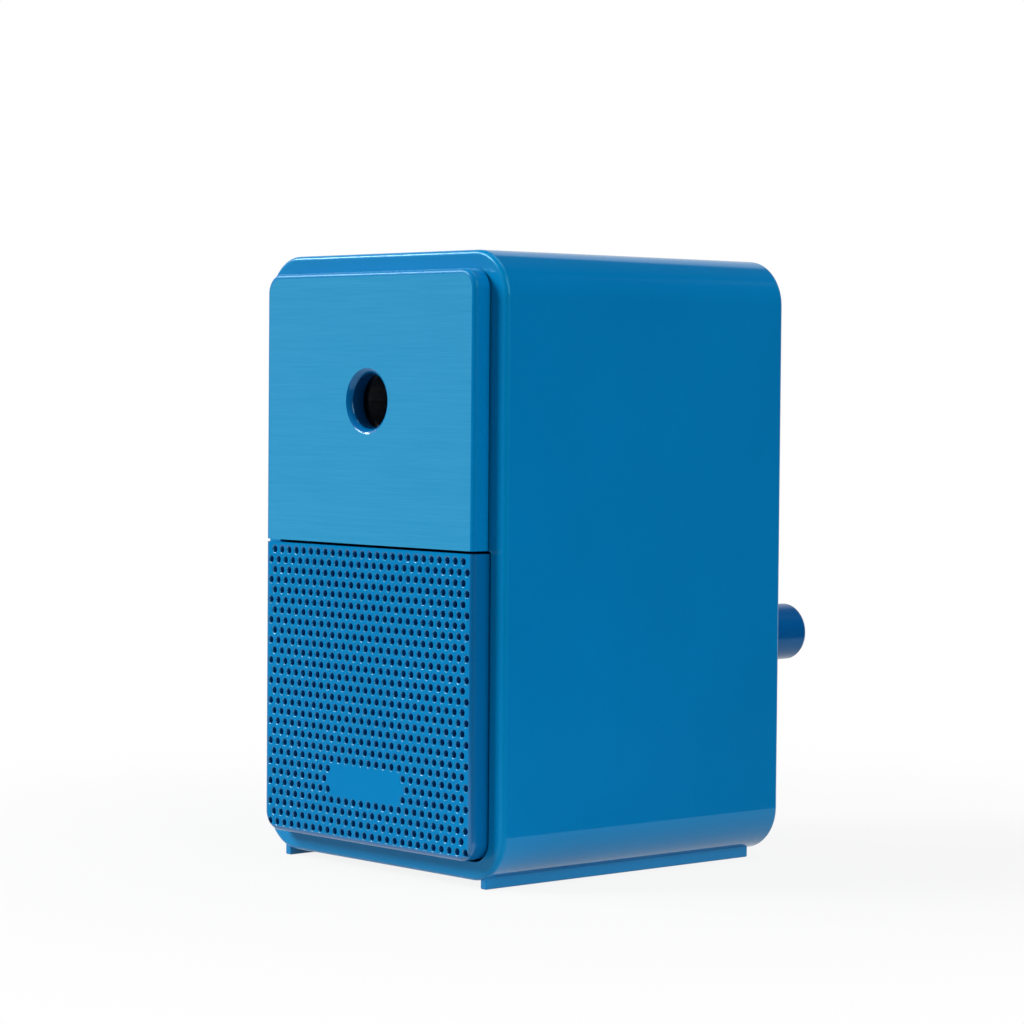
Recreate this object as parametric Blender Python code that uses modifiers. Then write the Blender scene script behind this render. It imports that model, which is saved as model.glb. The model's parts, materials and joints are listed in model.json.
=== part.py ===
"""Desk pencil sharpener with a hand crank, a turning helical cutter and a shavings drawer.

The front faces -Y and the crank is at the back. Lengths are in metres. Every place along the
depth is measured from the rim, the front face of the body, and one empty carries the whole
model so that the middle of its footprint lies at the world origin.
"""
import math

import bmesh
import bpy
from mathutils import Matrix

# Clearances
FIT = 0.0003
DRAWER_GAP = 0.0004
SPLIT_GAP = 0.00045
CUTTER_GAP = 0.0006

# Body: a sleeve with rounded corners, closed by a front wall and open at the back
BODY_WIDTH = 0.0600
BODY_HEIGHT = 0.0988
BODY_DEPTH = 0.0617
CORNER_RADIUS = 0.0075
BODY_WALL = 0.0020
FRONT_WALL = 0.0024
BODY_FILLET = 0.0008
RAIL_HEIGHT = 0.0012
RAIL_WIDTH = 0.0014
RAIL_INSET = 0.0045
RAIL_FRONT_SETBACK = 0.0006
RAIL_BACK_SETBACK = 0.0026

# Raised front: an upper panel with the pencil hole, and the drawer front below the split
PANEL_PROUD = 0.0033
PANEL_SIDE_MARGIN = 0.0037
PANEL_TOP_MARGIN = 0.0030
PANEL_BOTTOM_MARGIN = 0.0034
PANEL_RADIUS = 0.0032
PANEL_FILLET = 0.0008
PANEL_SPLIT_RADIUS = 0.0002
SPLIT_HEIGHT = 0.0529
PENCIL_HOLE_RADIUS = 0.0045
PENCIL_CHAMFER = 0.0008

# Staggered rows of pits in the drawer front, with a bare field left in them
PIT_RADIUS = 0.00056
PIT_DEPTH = 0.00080
PIT_SIDES = 4
PIT_COLUMN_PITCH = 0.00191
PIT_ROW_PITCH = 0.00168
PIT_SIDE_MARGIN = 0.00140
PIT_TOP_MARGIN = 0.00124
PIT_BOTTOM_MARGIN = 0.00130
BARE_FIELD_WIDTH = 0.0182
BARE_FIELD_HEIGHT = 0.0046
BARE_FIELD_LEVEL = 0.0099

# Drawer and its guides
DRAWER_FRONT_DEPTH = 0.0012
TRAY_END_GAP = 0.0017
TRAY_TOP_DROP = 0.0051
TRAY_WALL = 0.0015
RUNNER_WIDTH = 0.0020
RUNNER_SPACING = 0.0360
GUIDE_HEIGHT = 0.0015
GUIDE_LENGTH = 0.0380

# Back cover and the screws that hold it and the ring gear
COVER_THICKNESS = 0.0022
COVER_INSET = 0.0005
SCREW_HEAD_MARGIN = 0.0005
BOSS_LENGTH = 0.0090
SCREW_RADIUS = 0.0011
SCREW_HEAD_RADIUS = 0.0022
SCREW_HEAD_HEIGHT = 0.0015
COVER_SCREW_LENGTH = 0.0080
GEAR_SCREW_LENGTH = 0.0050

# Cutting mechanism on the pencil's axis
AXIS_DROP = 0.0238
POINT_HALF_ANGLE = math.radians(11.5)
CUTTER_RADIUS = 0.0055
CUTTER_LENGTH = 0.0213
CUTTER_TOOTH_DEPTH = 0.0008
CUTTER_TEETH = 12
CUTTER_TOOTH_SHARES = (0.16, 0.62)
CUTTER_SEGMENTS = 5
CUTTER_TWIST = math.radians(70.0)
AXLE_RADIUS = 0.0015
PINION_DISTANCE = 0.0190
PINION_FACE = 0.0045
PINION_HUB_LENGTH = 0.0017
PINION_HUB_RADIUS = 0.0032
PINION_TEETH = 15
PINION_TOOTH_SHARES = (0.20, 0.54)
RING_TEETH = 26
RING_SPACE_SHARES = (0.36, 0.76)
GEAR_ADDENDUM = 0.75
GEAR_DEDENDUM = 1.05
RING_FACE_MARGIN = 0.0004
RING_WALL = 0.0019
RING_BORE_CLEARANCE = 0.0023
RING_FLANGE_THICKNESS = 0.0030
GEAR_SCREW_MARGIN = 0.0011
GEAR_SCREW_COUNT = 3
NOSE_RADIUS = 0.0065
NOSE_SETBACK = 0.0006
GUIDE_BORE_RADIUS = 0.0043
CARRIER_FLANGE_RADIUS = 0.0135
CARRIER_FLANGE_THICKNESS = 0.0036
CARRIER_ARM_RADIUS = 0.0084
CARRIER_NECK_CLEARANCE = 0.00065
CARRIER_REAR_SUPPORT = 0.0035
CARRIER_OPEN_HEIGHT = 0.0008
CARRIER_HUB_RADIUS = 0.0055
CARRIER_HUB_LENGTH = 0.0054
CARRIER_END_GAP = 0.0006
BEARING_WALL = 0.0022
BEARING_LENGTH = 0.0080
BEARING_FLANGE_WIDTH = 0.0030
BEARING_FLANGE_THICKNESS = 0.0018

# Crank
SHAFT_RADIUS = 0.0030
SHAFT_SEAT_DEPTH = 0.0042
BUSH_WALL = 0.0020
BUSH_FLANGE_RADIUS = 0.0078
BUSH_FLANGE_THICKNESS = 0.0014
BUSH_INNER_REACH = 0.0015
ARM_STANDOFF = 0.0010
ARM_WIDTH = 0.0120
ARM_THICKNESS = 0.0022
ARM_FILLET = 0.0004
TENON_SIZE = 0.0041
CRANK_RADIUS = 0.0412
CRANK_SCREW_LENGTH = 0.0060
CRANK_SCREW_HEAD_RADIUS = 0.0040
KNOB_RADIUS = 0.0050
KNOB_LENGTH = 0.0285
KNOB_FILLET = 0.0010
PIN_RADIUS = 0.0017
PIN_HEAD_RADIUS = 0.0030
PIN_HEAD_HEIGHT = 0.0016
PIN_HEAD_RECESS = 0.0004

# Fineness of the curves
FINE_SIDES = 24
ROUND_SIDES = 20
SMALL_SIDES = 10
CORNER_STEPS = 5
OVERSHOOT = 0.0010
WELD = 0.00001

# Levels and depths that follow from the sizes above
FLOOR = RAIL_HEIGHT
BODY_TOP = FLOOR + BODY_HEIGHT
HALF_WIDTH = BODY_WIDTH / 2
INNER_HALF_WIDTH = HALF_WIDTH - BODY_WALL
INNER_FLOOR = FLOOR + BODY_WALL
INNER_TOP = BODY_TOP - BODY_WALL
INNER_RADIUS = CORNER_RADIUS - BODY_WALL
PANEL_HALF_WIDTH = HALF_WIDTH - PANEL_SIDE_MARGIN
PANEL_TOP = BODY_TOP - PANEL_TOP_MARGIN
PANEL_BOTTOM = FLOOR + PANEL_BOTTOM_MARGIN
UPPER_PANEL_BOTTOM = SPLIT_HEIGHT + SPLIT_GAP / 2
DRAWER_TOP = SPLIT_HEIGHT - SPLIT_GAP / 2
TRAY_FRONT = DRAWER_FRONT_DEPTH + FIT
TRAY_TOP = DRAWER_TOP - TRAY_TOP_DROP
RUNNER_TOP = PANEL_BOTTOM - DRAWER_GAP
COVER_BACK = BODY_DEPTH - COVER_INSET
COVER_FRONT = COVER_BACK - COVER_THICKNESS
BOSS_BACK = COVER_FRONT - FIT
BOSS_FRONT = BOSS_BACK - BOSS_LENGTH
TRAY_BACK = BOSS_FRONT - TRAY_END_GAP
SCREW_HOLE_RADIUS = SCREW_RADIUS + FIT
BOSS_RADIUS = SCREW_HEAD_RADIUS + SCREW_HEAD_MARGIN + BODY_WALL / 2
SCREW_SEAT = COVER_BACK + FIT
AXIS_HEIGHT = BODY_TOP - AXIS_DROP
BUSH_FRONT = COVER_FRONT - BUSH_INNER_REACH
CARRIER_BACK = BUSH_FRONT - CARRIER_END_GAP
REAR_SUPPORT_BACK = CARRIER_BACK - CARRIER_HUB_LENGTH
REAR_SUPPORT_FRONT = REAR_SUPPORT_BACK - CARRIER_REAR_SUPPORT
APEX_DEPTH = REAR_SUPPORT_FRONT - OVERSHOOT + PINION_DISTANCE * math.cos(POINT_HALF_ANGLE)
POINT_DEPTH = APEX_DEPTH - CUTTER_RADIUS / math.sin(POINT_HALF_ANGLE)
PINION_END = PINION_DISTANCE + PINION_FACE
CUTTER_NEAR = PINION_END + PINION_HUB_LENGTH + FIT
CUTTER_FAR = CUTTER_NEAR + CUTTER_LENGTH
CARRIER_FLANGE_BACK = APEX_DEPTH - CUTTER_FAR * math.cos(POINT_HALF_ANGLE)
CARRIER_FLANGE_FRONT = CARRIER_FLANGE_BACK - CARRIER_FLANGE_THICKNESS
AXLE_NEAR = (APEX_DEPTH - REAR_SUPPORT_BACK) / math.cos(POINT_HALF_ANGLE) + FIT
AXLE_FAR = (APEX_DEPTH - CARRIER_FLANGE_FRONT) / math.cos(POINT_HALF_ANGLE) - FIT
GEAR_RATIO = RING_TEETH / PINION_TEETH
PINION_CONE = math.atan(math.sin(POINT_HALF_ANGLE) / (GEAR_RATIO - math.cos(POINT_HALF_ANGLE)))
RING_CONE = PINION_CONE + POINT_HALF_ANGLE
TOOTH_ANGLE = 2 * math.sin(PINION_CONE) / PINION_TEETH
RING_NEAR = PINION_DISTANCE / math.cos(PINION_CONE) * math.cos(RING_CONE) - RING_FACE_MARGIN
RING_FAR = PINION_END / math.cos(PINION_CONE) * math.cos(RING_CONE) + RING_FACE_MARGIN
RING_FRONT = APEX_DEPTH - RING_FAR
RING_TEETH_BACK = APEX_DEPTH - RING_NEAR
RING_BACK = COVER_FRONT - FIT
RING_TIPS = math.tan(RING_CONE - GEAR_ADDENDUM * TOOTH_ANGLE)
RING_ROOTS = math.tan(RING_CONE + GEAR_DEDENDUM * TOOTH_ANGLE)
PINION_TIPS = math.tan(PINION_CONE + GEAR_ADDENDUM * TOOTH_ANGLE)
PINION_ROOTS = math.tan(PINION_CONE - GEAR_DEDENDUM * TOOTH_ANGLE)
CARRIER_NECK_RADIUS = RING_TIPS * RING_NEAR - CARRIER_NECK_CLEARANCE
RING_BORE_RADIUS = CARRIER_NECK_RADIUS + RING_BORE_CLEARANCE
RING_OUTER_RADIUS = RING_ROOTS * RING_FAR + RING_WALL
GEAR_SCREW_CIRCLE = RING_OUTER_RADIUS + GEAR_SCREW_MARGIN + SCREW_HOLE_RADIUS
RING_FLANGE_RADIUS = GEAR_SCREW_CIRCLE + SCREW_HOLE_RADIUS + GEAR_SCREW_MARGIN
BEARING_BORE = NOSE_RADIUS + FIT
BEARING_RADIUS = BEARING_BORE + BEARING_WALL
SHAFT_FRONT = CARRIER_BACK - SHAFT_SEAT_DEPTH
BUSH_SEAT = COVER_BACK + FIT
BUSH_BACK = BUSH_SEAT + BUSH_FLANGE_THICKNESS
BUSH_RADIUS = SHAFT_RADIUS + FIT + BUSH_WALL
SHAFT_SHOULDER = BUSH_BACK + ARM_STANDOFF
ARM_FRONT = SHAFT_SHOULDER + FIT
ARM_BACK = ARM_FRONT + ARM_THICKNESS
KNOB_FRONT = ARM_BACK + FIT
KNOB_BACK = KNOB_FRONT + KNOB_LENGTH
RIM_Y = PANEL_PROUD - (PANEL_PROUD + KNOB_BACK) / 2


def srgb(red, green, blue):
    """Turn 8-bit display values into the linear colour that a shader takes."""
    channels = (value / 255 for value in (red, green, blue))
    linear = [c / 12.92 if c <= 0.04045 else ((c + 0.055) / 1.055) ** 2.4 for c in channels]
    return (*linear, 1.0)


def make_material(name, colour, roughness, metallic=0.0):
    """Make a plain Principled finish."""
    material = bpy.data.materials.new(name)
    material.use_nodes = True
    shader = material.node_tree.nodes["Principled BSDF"]
    shader.inputs["Base Color"].default_value = colour
    shader.inputs["Roughness"].default_value = roughness
    shader.inputs["Metallic"].default_value = metallic
    material.diffuse_color = colour
    return material


def clear_scene():
    """Remove what the file opened with."""
    for scene_object in list(bpy.data.objects):
        bpy.data.objects.remove(scene_object, do_unlink=True)


def make_collection(name):
    """Add a collection to the scene."""
    collection = bpy.data.collections.new(name)
    bpy.context.scene.collection.children.link(collection)
    return collection


clear_scene()
PARTS = make_collection("crank_pencil_sharpener")
TOOLS = make_collection("cutters")

BODY_PLASTIC = make_material("body_plastic", srgb(0, 108, 165), 0.18)
PANEL_PLASTIC = make_material("panel_plastic", srgb(62, 156, 207), 0.42)
DRAWER_PLASTIC = make_material("drawer_plastic", srgb(19, 134, 191), 0.35)
TRAY_PLASTIC = make_material("tray_plastic", srgb(10, 100, 156), 0.40)
KNOB_PLASTIC = make_material("knob_plastic", srgb(0, 78, 135), 0.25)
BEARING_PLASTIC = make_material("bearing_plastic", srgb(38, 40, 42), 0.45)
CAST_METAL = make_material("cast_metal", srgb(150, 152, 155), 0.45, 1.0)
CUTTER_STEEL = make_material("cutter_steel", srgb(120, 122, 126), 0.30, 1.0)
PLATED_STEEL = make_material("plated_steel", srgb(190, 192, 195), 0.22, 1.0)
BRASS = make_material("brass", srgb(190, 158, 92), 0.30, 1.0)


def make_empty(name, parent=None, location=(0, 0, 0), rotation=(0, 0, 0)):
    """Add an axis that pieces are placed on."""
    empty = bpy.data.objects.new(name, None)
    empty.parent = parent
    empty.location = location
    empty.rotation_euler = rotation
    empty.empty_display_size = BODY_WALL
    PARTS.objects.link(empty)
    return empty


def place(name, mesh, parent, material=None, location=(0, 0, 0), rotation=(0, 0, 0)):
    """Make an object: a piece of the sharpener with a material, or a cutter without one."""
    placed = bpy.data.objects.new(name, mesh)
    placed.parent = parent
    placed.location = location
    placed.rotation_euler = rotation
    if material is None:
        placed.hide_render = True
        placed.display_type = "WIRE"
        TOOLS.objects.link(placed)
    else:
        mesh.materials.append(material)
        PARTS.objects.link(placed)
    return placed


def combine(piece, tool, operation="DIFFERENCE"):
    """Cut a tool out of a piece, or join it on with the operation UNION."""
    boolean = piece.modifiers.new(f"{operation.lower()}_{tool.name}", "BOOLEAN")
    boolean.operation = operation
    boolean.solver = "EXACT"
    boolean.object = tool


def round_edges(piece, width, segments=2):
    """Round every sharp edge that the piece has so far."""
    bevel = piece.modifiers.new("rounded_edges", "BEVEL")
    bevel.width = width
    bevel.segments = segments
    bevel.limit_method = "ANGLE"
    bevel.angle_limit = math.radians(40)


def smooth(mesh):
    """Shade a round piece smooth and leave its real edges sharp."""
    mesh.shade_smooth()
    mesh.set_sharp_from_angle(angle=math.radians(35))


def rounded_outline(left, right, bottom, top, radii):
    """Give the points of a rectangle whose four corners, from bottom left round, are arcs."""
    lower_left, lower_right, upper_right, upper_left = radii
    corners = (
        (left + lower_left, bottom + lower_left, lower_left, 180),
        (right - lower_right, bottom + lower_right, lower_right, 270),
        (right - upper_right, top - upper_right, upper_right, 0),
        (left + upper_left, top - upper_left, upper_left, 90),
    )
    points = []
    for centre_x, centre_z, radius, start in corners:
        for step in range(CORNER_STEPS + 1):
            angle = math.radians(start + 90 * step / CORNER_STEPS)
            points.append((centre_x + radius * math.cos(angle), centre_z + radius * math.sin(angle)))
    return points


def plate_mesh(name, points, front, back):
    """Extrude an outline in X and Z from one depth to another."""
    curve = bpy.data.curves.new(name, "CURVE")
    curve.dimensions = "2D"
    curve.fill_mode = "BOTH"
    curve.extrude = (back - front) / 2
    spline = curve.splines.new("POLY")
    spline.points.add(len(points) - 1)
    for point, (x, z) in zip(spline.points, points):
        point.co = (x, z, 0, 1)
    spline.use_cyclic_u = True
    drawn = bpy.data.objects.new(name, curve)
    bpy.context.scene.collection.objects.link(drawn)
    evaluated = drawn.evaluated_get(bpy.context.evaluated_depsgraph_get())
    mesh = bpy.data.meshes.new_from_object(evaluated)
    bpy.data.objects.remove(drawn)
    bpy.data.curves.remove(curve)
    mesh.transform(Matrix.Translation((0, (front + back) / 2, 0)) @ Matrix.Rotation(math.pi / 2, 4, "X"))
    shaped = bmesh.new()
    shaped.from_mesh(mesh)
    bmesh.ops.remove_doubles(shaped, verts=shaped.verts, dist=WELD)
    bmesh.ops.dissolve_limit(shaped, angle_limit=math.radians(1), verts=shaped.verts, edges=shaped.edges)
    bmesh.ops.recalc_face_normals(shaped, faces=shaped.faces)
    shaped.to_mesh(mesh)
    shaped.free()
    mesh.materials.clear()
    smooth(mesh)
    return mesh


def rod_mesh(name, radius, front, back, sides=FINE_SIDES):
    """Make a cylinder along Y."""
    mesh = bpy.data.meshes.new(name)
    shaped = bmesh.new()
    middle = Matrix.Translation((0, (front + back) / 2, 0)) @ Matrix.Rotation(math.pi / 2, 4, "X")
    bmesh.ops.create_cone(shaped, cap_ends=True, segments=sides, radius1=radius, radius2=radius,
                          depth=back - front, matrix=middle)
    shaped.to_mesh(mesh)
    shaped.free()
    smooth(mesh)
    return mesh


def add_box(shaped, left, right, front, back, bottom, top):
    """Add a box to a mesh that is being built."""
    centre = Matrix.Translation(((left + right) / 2, (front + back) / 2, (bottom + top) / 2))
    size = Matrix.Diagonal((right - left, back - front, top - bottom, 1))
    bmesh.ops.create_cube(shaped, size=1, matrix=centre @ size)


def box_mesh(name, *boxes):
    """Make separate boxes, each given by left, right, front, back, bottom and top."""
    mesh = bpy.data.meshes.new(name)
    shaped = bmesh.new()
    for box in boxes:
        add_box(shaped, *box)
    shaped.to_mesh(mesh)
    shaped.free()
    return mesh


def turned(name, profile, parent, material=None, location=(0, 0, 0), sides=FINE_SIDES):
    """Turn a profile of radius and depth, which runs from the back down its outer side.

    A profile that doesn't start on the axis is a closed ring, such as a bush.
    """
    mesh = bpy.data.meshes.new(name)
    shaped = bmesh.new()
    corners = [shaped.verts.new((radius, 0, depth)) for radius, depth in profile]
    for start, end in zip(corners, corners[1:]):
        shaped.edges.new((start, end))
    if profile[0][0] > 0:
        shaped.edges.new((corners[-1], corners[0]))
    shaped.to_mesh(mesh)
    shaped.free()
    piece = place(name, mesh, parent, material, location, (-math.pi / 2, 0, 0))
    screw = piece.modifiers.new("turning", "SCREW")
    screw.steps = sides
    screw.render_steps = sides
    screw.use_merge_vertices = True
    screw.merge_threshold = WELD
    screw.use_smooth_shade = False
    return piece


def fillet_points(radius, depth, fillet, start, steps=2):
    """Give the points of a quarter round on a profile, centred at a radius and depth."""
    angles = [math.radians(start - 90 * step / steps) for step in range(steps + 1)]
    return [(radius + fillet * math.cos(a), depth + fillet * math.sin(a)) for a in angles]


def star_mesh(name, teeth, outer, inner, shares, near, far, taper):
    """Make a toothed rod along Y, whose radii grow with the distance where it tapers.

    The shares are the part of a tooth's pitch that the tooth takes up at its top and its foot.
    A tooth stands at the top. With a taper the radii are those for one unit of distance from
    the origin, and near and far are such distances.
    """
    pitch = 2 * math.pi / teeth
    outer_share, inner_share = shares
    offsets = ((-inner_share, inner), (-outer_share, outer), (outer_share, outer), (inner_share, inner))
    shaped = bmesh.new()
    section = []
    for tooth in range(teeth):
        for share, radius in offsets:
            angle = math.pi / 2 + pitch * (tooth + share / 2)
            reach = radius * near if taper else radius
            section.append(shaped.verts.new((reach * math.cos(angle), near, reach * math.sin(angle))))
    face = shaped.faces.new(section)
    grown = bmesh.ops.extrude_face_region(shaped, geom=[face])
    moved = [item for item in grown["geom"] if isinstance(item, bmesh.types.BMVert)]
    swell = far / near if taper else 1.0
    bmesh.ops.scale(shaped, vec=(swell, 1, swell), verts=moved)
    bmesh.ops.translate(shaped, vec=(0, far - near, 0), verts=moved)
    bmesh.ops.recalc_face_normals(shaped, faces=shaped.faces)
    mesh = bpy.data.meshes.new(name)
    shaped.to_mesh(mesh)
    shaped.free()
    return mesh


# The axes that the pieces are placed on
SHARPENER = make_empty("sharpener", None, (0, RIM_Y, 0))
DRAWER = make_empty("drawer_slide", SHARPENER)
CRANK = make_empty("crank_axis", SHARPENER, (0, 0, AXIS_HEIGHT))
KNOB_AXIS = make_empty("knob_axis", CRANK, (0, 0, -CRANK_RADIUS))
CUTTER_AXIS = make_empty("cutter_axis", CRANK, (0, APEX_DEPTH, 0), (POINT_HALF_ANGLE, 0, math.pi))


def cover_screw_places():
    """Give the four places in the corners of the sleeve where the back cover is screwed on."""
    reach = (INNER_RADIUS - SCREW_HEAD_RADIUS - SCREW_HEAD_MARGIN) * math.sqrt(0.5)
    across = INNER_HALF_WIDTH - INNER_RADIUS + reach
    low = INNER_FLOOR + INNER_RADIUS - reach
    high = INNER_TOP - INNER_RADIUS + reach
    return [(side * across, level) for level in (low, high) for side in (-1, 1)]


def gear_screw_places():
    """Give the places round the crank's axis where the ring gear is screwed to the back cover."""
    angles = [math.pi / 2 + 2 * math.pi * index / GEAR_SCREW_COUNT for index in range(GEAR_SCREW_COUNT)]
    return [(GEAR_SCREW_CIRCLE * math.cos(a), AXIS_HEIGHT + GEAR_SCREW_CIRCLE * math.sin(a)) for a in angles]


def drill(piece, places, radius, front, back, name):
    """Cut one round hole along Y at each place."""
    for index, (x, z) in enumerate(places, start=1):
        tool_name = f"{name}_{index}"
        tool = place(tool_name, rod_mesh(tool_name, radius, front, back, SMALL_SIDES), SHARPENER,
                     location=(x, 0, z))
        combine(piece, tool)


def build_housing():
    """The moulded sleeve, with its front wall, drawer opening, screw bosses, guides and rails."""
    radii = [CORNER_RADIUS] * 4
    outside = rounded_outline(-HALF_WIDTH, HALF_WIDTH, FLOOR, BODY_TOP, radii)
    housing = place("housing_shell", plate_mesh("housing_shell", outside, 0, BODY_DEPTH), SHARPENER,
                    BODY_PLASTIC)
    round_edges(housing, BODY_FILLET)
    inside = rounded_outline(-INNER_HALF_WIDTH, INNER_HALF_WIDTH, INNER_FLOOR, INNER_TOP, [INNER_RADIUS] * 4)
    hollow = plate_mesh("housing_hollow", inside, FRONT_WALL, BODY_DEPTH + OVERSHOOT)
    combine(housing, place("housing_hollow", hollow, SHARPENER))

    grip = BODY_WALL / 2
    rail_outer = HALF_WIDTH - RAIL_INSET
    overhang = max(0, rail_outer - HALF_WIDTH + CORNER_RADIUS)
    corner_rise = CORNER_RADIUS - math.sqrt(CORNER_RADIUS ** 2 - overhang ** 2)
    rail_centre = rail_outer - RAIL_WIDTH / 2
    runner_centre = RUNNER_SPACING / 2
    guide_bottom = TRAY_TOP + DRAWER_GAP
    guide_inside = PANEL_HALF_WIDTH - TRAY_WALL
    ribs = []
    for side in (-1, 1):
        ribs.append((side * rail_centre - RAIL_WIDTH / 2, side * rail_centre + RAIL_WIDTH / 2,
                     RAIL_FRONT_SETBACK, BODY_DEPTH - RAIL_BACK_SETBACK, 0, FLOOR + corner_rise + grip))
        ribs.append((side * runner_centre - RUNNER_WIDTH / 2, side * runner_centre + RUNNER_WIDTH / 2,
                     FRONT_WALL - grip, TRAY_BACK, INNER_FLOOR - grip, RUNNER_TOP))
        edges = sorted((side * guide_inside, side * (INNER_HALF_WIDTH + grip)))
        ribs.append((*edges, FRONT_WALL - grip, FRONT_WALL + GUIDE_LENGTH,
                     guide_bottom, guide_bottom + GUIDE_HEIGHT))
    combine(housing, place("housing_ribs", box_mesh("housing_ribs", *ribs), SHARPENER), "UNION")

    for index, (x, z) in enumerate(cover_screw_places(), start=1):
        boss = rod_mesh(f"housing_boss_{index}", BOSS_RADIUS, BOSS_FRONT, BOSS_BACK, SMALL_SIDES)
        combine(housing, place(f"housing_boss_{index}", boss, SHARPENER, location=(x, 0, z)), "UNION")
    drill(housing, cover_screw_places(), SCREW_HOLE_RADIUS, SCREW_SEAT - COVER_SCREW_LENGTH - OVERSHOOT / 2,
          BODY_DEPTH + OVERSHOOT, "housing_screw_hole")

    gap_radii = [PANEL_RADIUS + DRAWER_GAP] * 2 + [PANEL_SPLIT_RADIUS + DRAWER_GAP] * 2
    mouth = rounded_outline(-PANEL_HALF_WIDTH - DRAWER_GAP, PANEL_HALF_WIDTH + DRAWER_GAP,
                            PANEL_BOTTOM - DRAWER_GAP, DRAWER_TOP + DRAWER_GAP, gap_radii)
    opening = plate_mesh("drawer_mouth", mouth, -OVERSHOOT, FRONT_WALL + OVERSHOOT)
    combine(housing, place("drawer_mouth", opening, SHARPENER))
    bearing_hole = rod_mesh("bearing_hole", BEARING_RADIUS + FIT, -OVERSHOOT, FRONT_WALL + OVERSHOOT)
    combine(housing, place("bearing_hole", bearing_hole, CRANK))


def trim_at_split(piece, bottom, top):
    """Cut a panel off straight at the split, so that its rounded edges run right up to it."""
    name = f"{piece.name}_trim"
    tool = box_mesh(name, (-HALF_WIDTH, HALF_WIDTH, -PANEL_PROUD - OVERSHOOT, DRAWER_FRONT_DEPTH + OVERSHOOT,
                           bottom, top))
    combine(piece, place(name, tool, piece.parent))


def build_front_panel():
    """The raised upper panel with its chamfered pencil hole."""
    below_split = UPPER_PANEL_BOTTOM - 2 * PANEL_RADIUS
    outline = rounded_outline(-PANEL_HALF_WIDTH, PANEL_HALF_WIDTH, below_split, PANEL_TOP, [PANEL_RADIUS] * 4)
    panel = place("front_panel", plate_mesh("front_panel", outline, -PANEL_PROUD, -FIT), SHARPENER,
                  PANEL_PLASTIC)
    round_edges(panel, PANEL_FILLET)
    trim_at_split(panel, below_split - OVERSHOOT, UPPER_PANEL_BOTTOM)
    face = -PANEL_PROUD
    wide = PENCIL_HOLE_RADIUS + PENCIL_CHAMFER
    profile = [(0, OVERSHOOT), (PENCIL_HOLE_RADIUS, OVERSHOOT), (PENCIL_HOLE_RADIUS, face + PENCIL_CHAMFER),
               (wide, face), (wide, face - OVERSHOOT), (0, face - OVERSHOOT)]
    combine(panel, turned("pencil_hole", profile, CRANK))


def build_back_cover():
    """The flat cover screwed into the back of the sleeve."""
    outline = rounded_outline(FIT - INNER_HALF_WIDTH, INNER_HALF_WIDTH - FIT, INNER_FLOOR + FIT,
                              INNER_TOP - FIT, [INNER_RADIUS - FIT] * 4)
    cover = place("back_cover", plate_mesh("back_cover", outline, COVER_FRONT, COVER_BACK), SHARPENER,
                  BODY_PLASTIC)
    front = COVER_FRONT - OVERSHOOT
    back = COVER_BACK + OVERSHOOT
    drill(cover, cover_screw_places(), SCREW_HOLE_RADIUS, front, back, "cover_screw_hole")
    drill(cover, gear_screw_places(), SCREW_HOLE_RADIUS, front, back, "cover_gear_hole")
    bush_hole = rod_mesh("cover_bush_hole", BUSH_RADIUS + FIT, front, back)
    combine(cover, place("cover_bush_hole", bush_hole, CRANK))


def pan_screw(name, x, z, length, parent=None, seat=SCREW_SEAT, head_radius=SCREW_HEAD_RADIUS):
    """A screw driven in from the back, with a rounded pan head."""
    crown = seat + SCREW_HEAD_HEIGHT
    rounding = SCREW_HEAD_HEIGHT / 2
    profile = [(0, crown)]
    profile += fillet_points(head_radius - rounding, crown - rounding, rounding, 90)
    profile += [(head_radius, seat), (SCREW_RADIUS, seat), (SCREW_RADIUS, seat - length), (0, seat - length)]
    return turned(name, profile, parent or SHARPENER, PLATED_STEEL, (x, 0, z), SMALL_SIDES)


def build_screws():
    """Four screws for the back cover, and those that hold the ring gear to it."""
    for index, (x, z) in enumerate(cover_screw_places(), start=1):
        pan_screw(f"back_cover_screw_{index}", x, z, COVER_SCREW_LENGTH)
    for index, (x, z) in enumerate(gear_screw_places(), start=1):
        pan_screw(f"ring_gear_screw_{index}", x, z, GEAR_SCREW_LENGTH)


def build_bearings():
    """The front bearing that the carrier's nose turns in, and the bush of the crank shaft."""
    flange_radius = BEARING_RADIUS + BEARING_FLANGE_WIDTH
    flange_front = FRONT_WALL + FIT
    flange_back = flange_front + BEARING_FLANGE_THICKNESS
    front = FIT
    back = front + BEARING_LENGTH
    profile = [(BEARING_RADIUS, back), (BEARING_RADIUS, flange_back), (flange_radius, flange_back),
               (flange_radius, flange_front), (BEARING_RADIUS, flange_front), (BEARING_RADIUS, front),
               (BEARING_BORE, front), (BEARING_BORE, back)]
    turned("front_bearing", profile, CRANK, BEARING_PLASTIC)

    bore = SHAFT_RADIUS + FIT
    profile = [(BUSH_FLANGE_RADIUS, BUSH_BACK), (BUSH_FLANGE_RADIUS, BUSH_SEAT), (BUSH_RADIUS, BUSH_SEAT),
               (BUSH_RADIUS, BUSH_FRONT), (bore, BUSH_FRONT), (bore, BUSH_BACK)]
    turned("shaft_bush", profile, CRANK, BRASS, sides=ROUND_SIDES)


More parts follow.
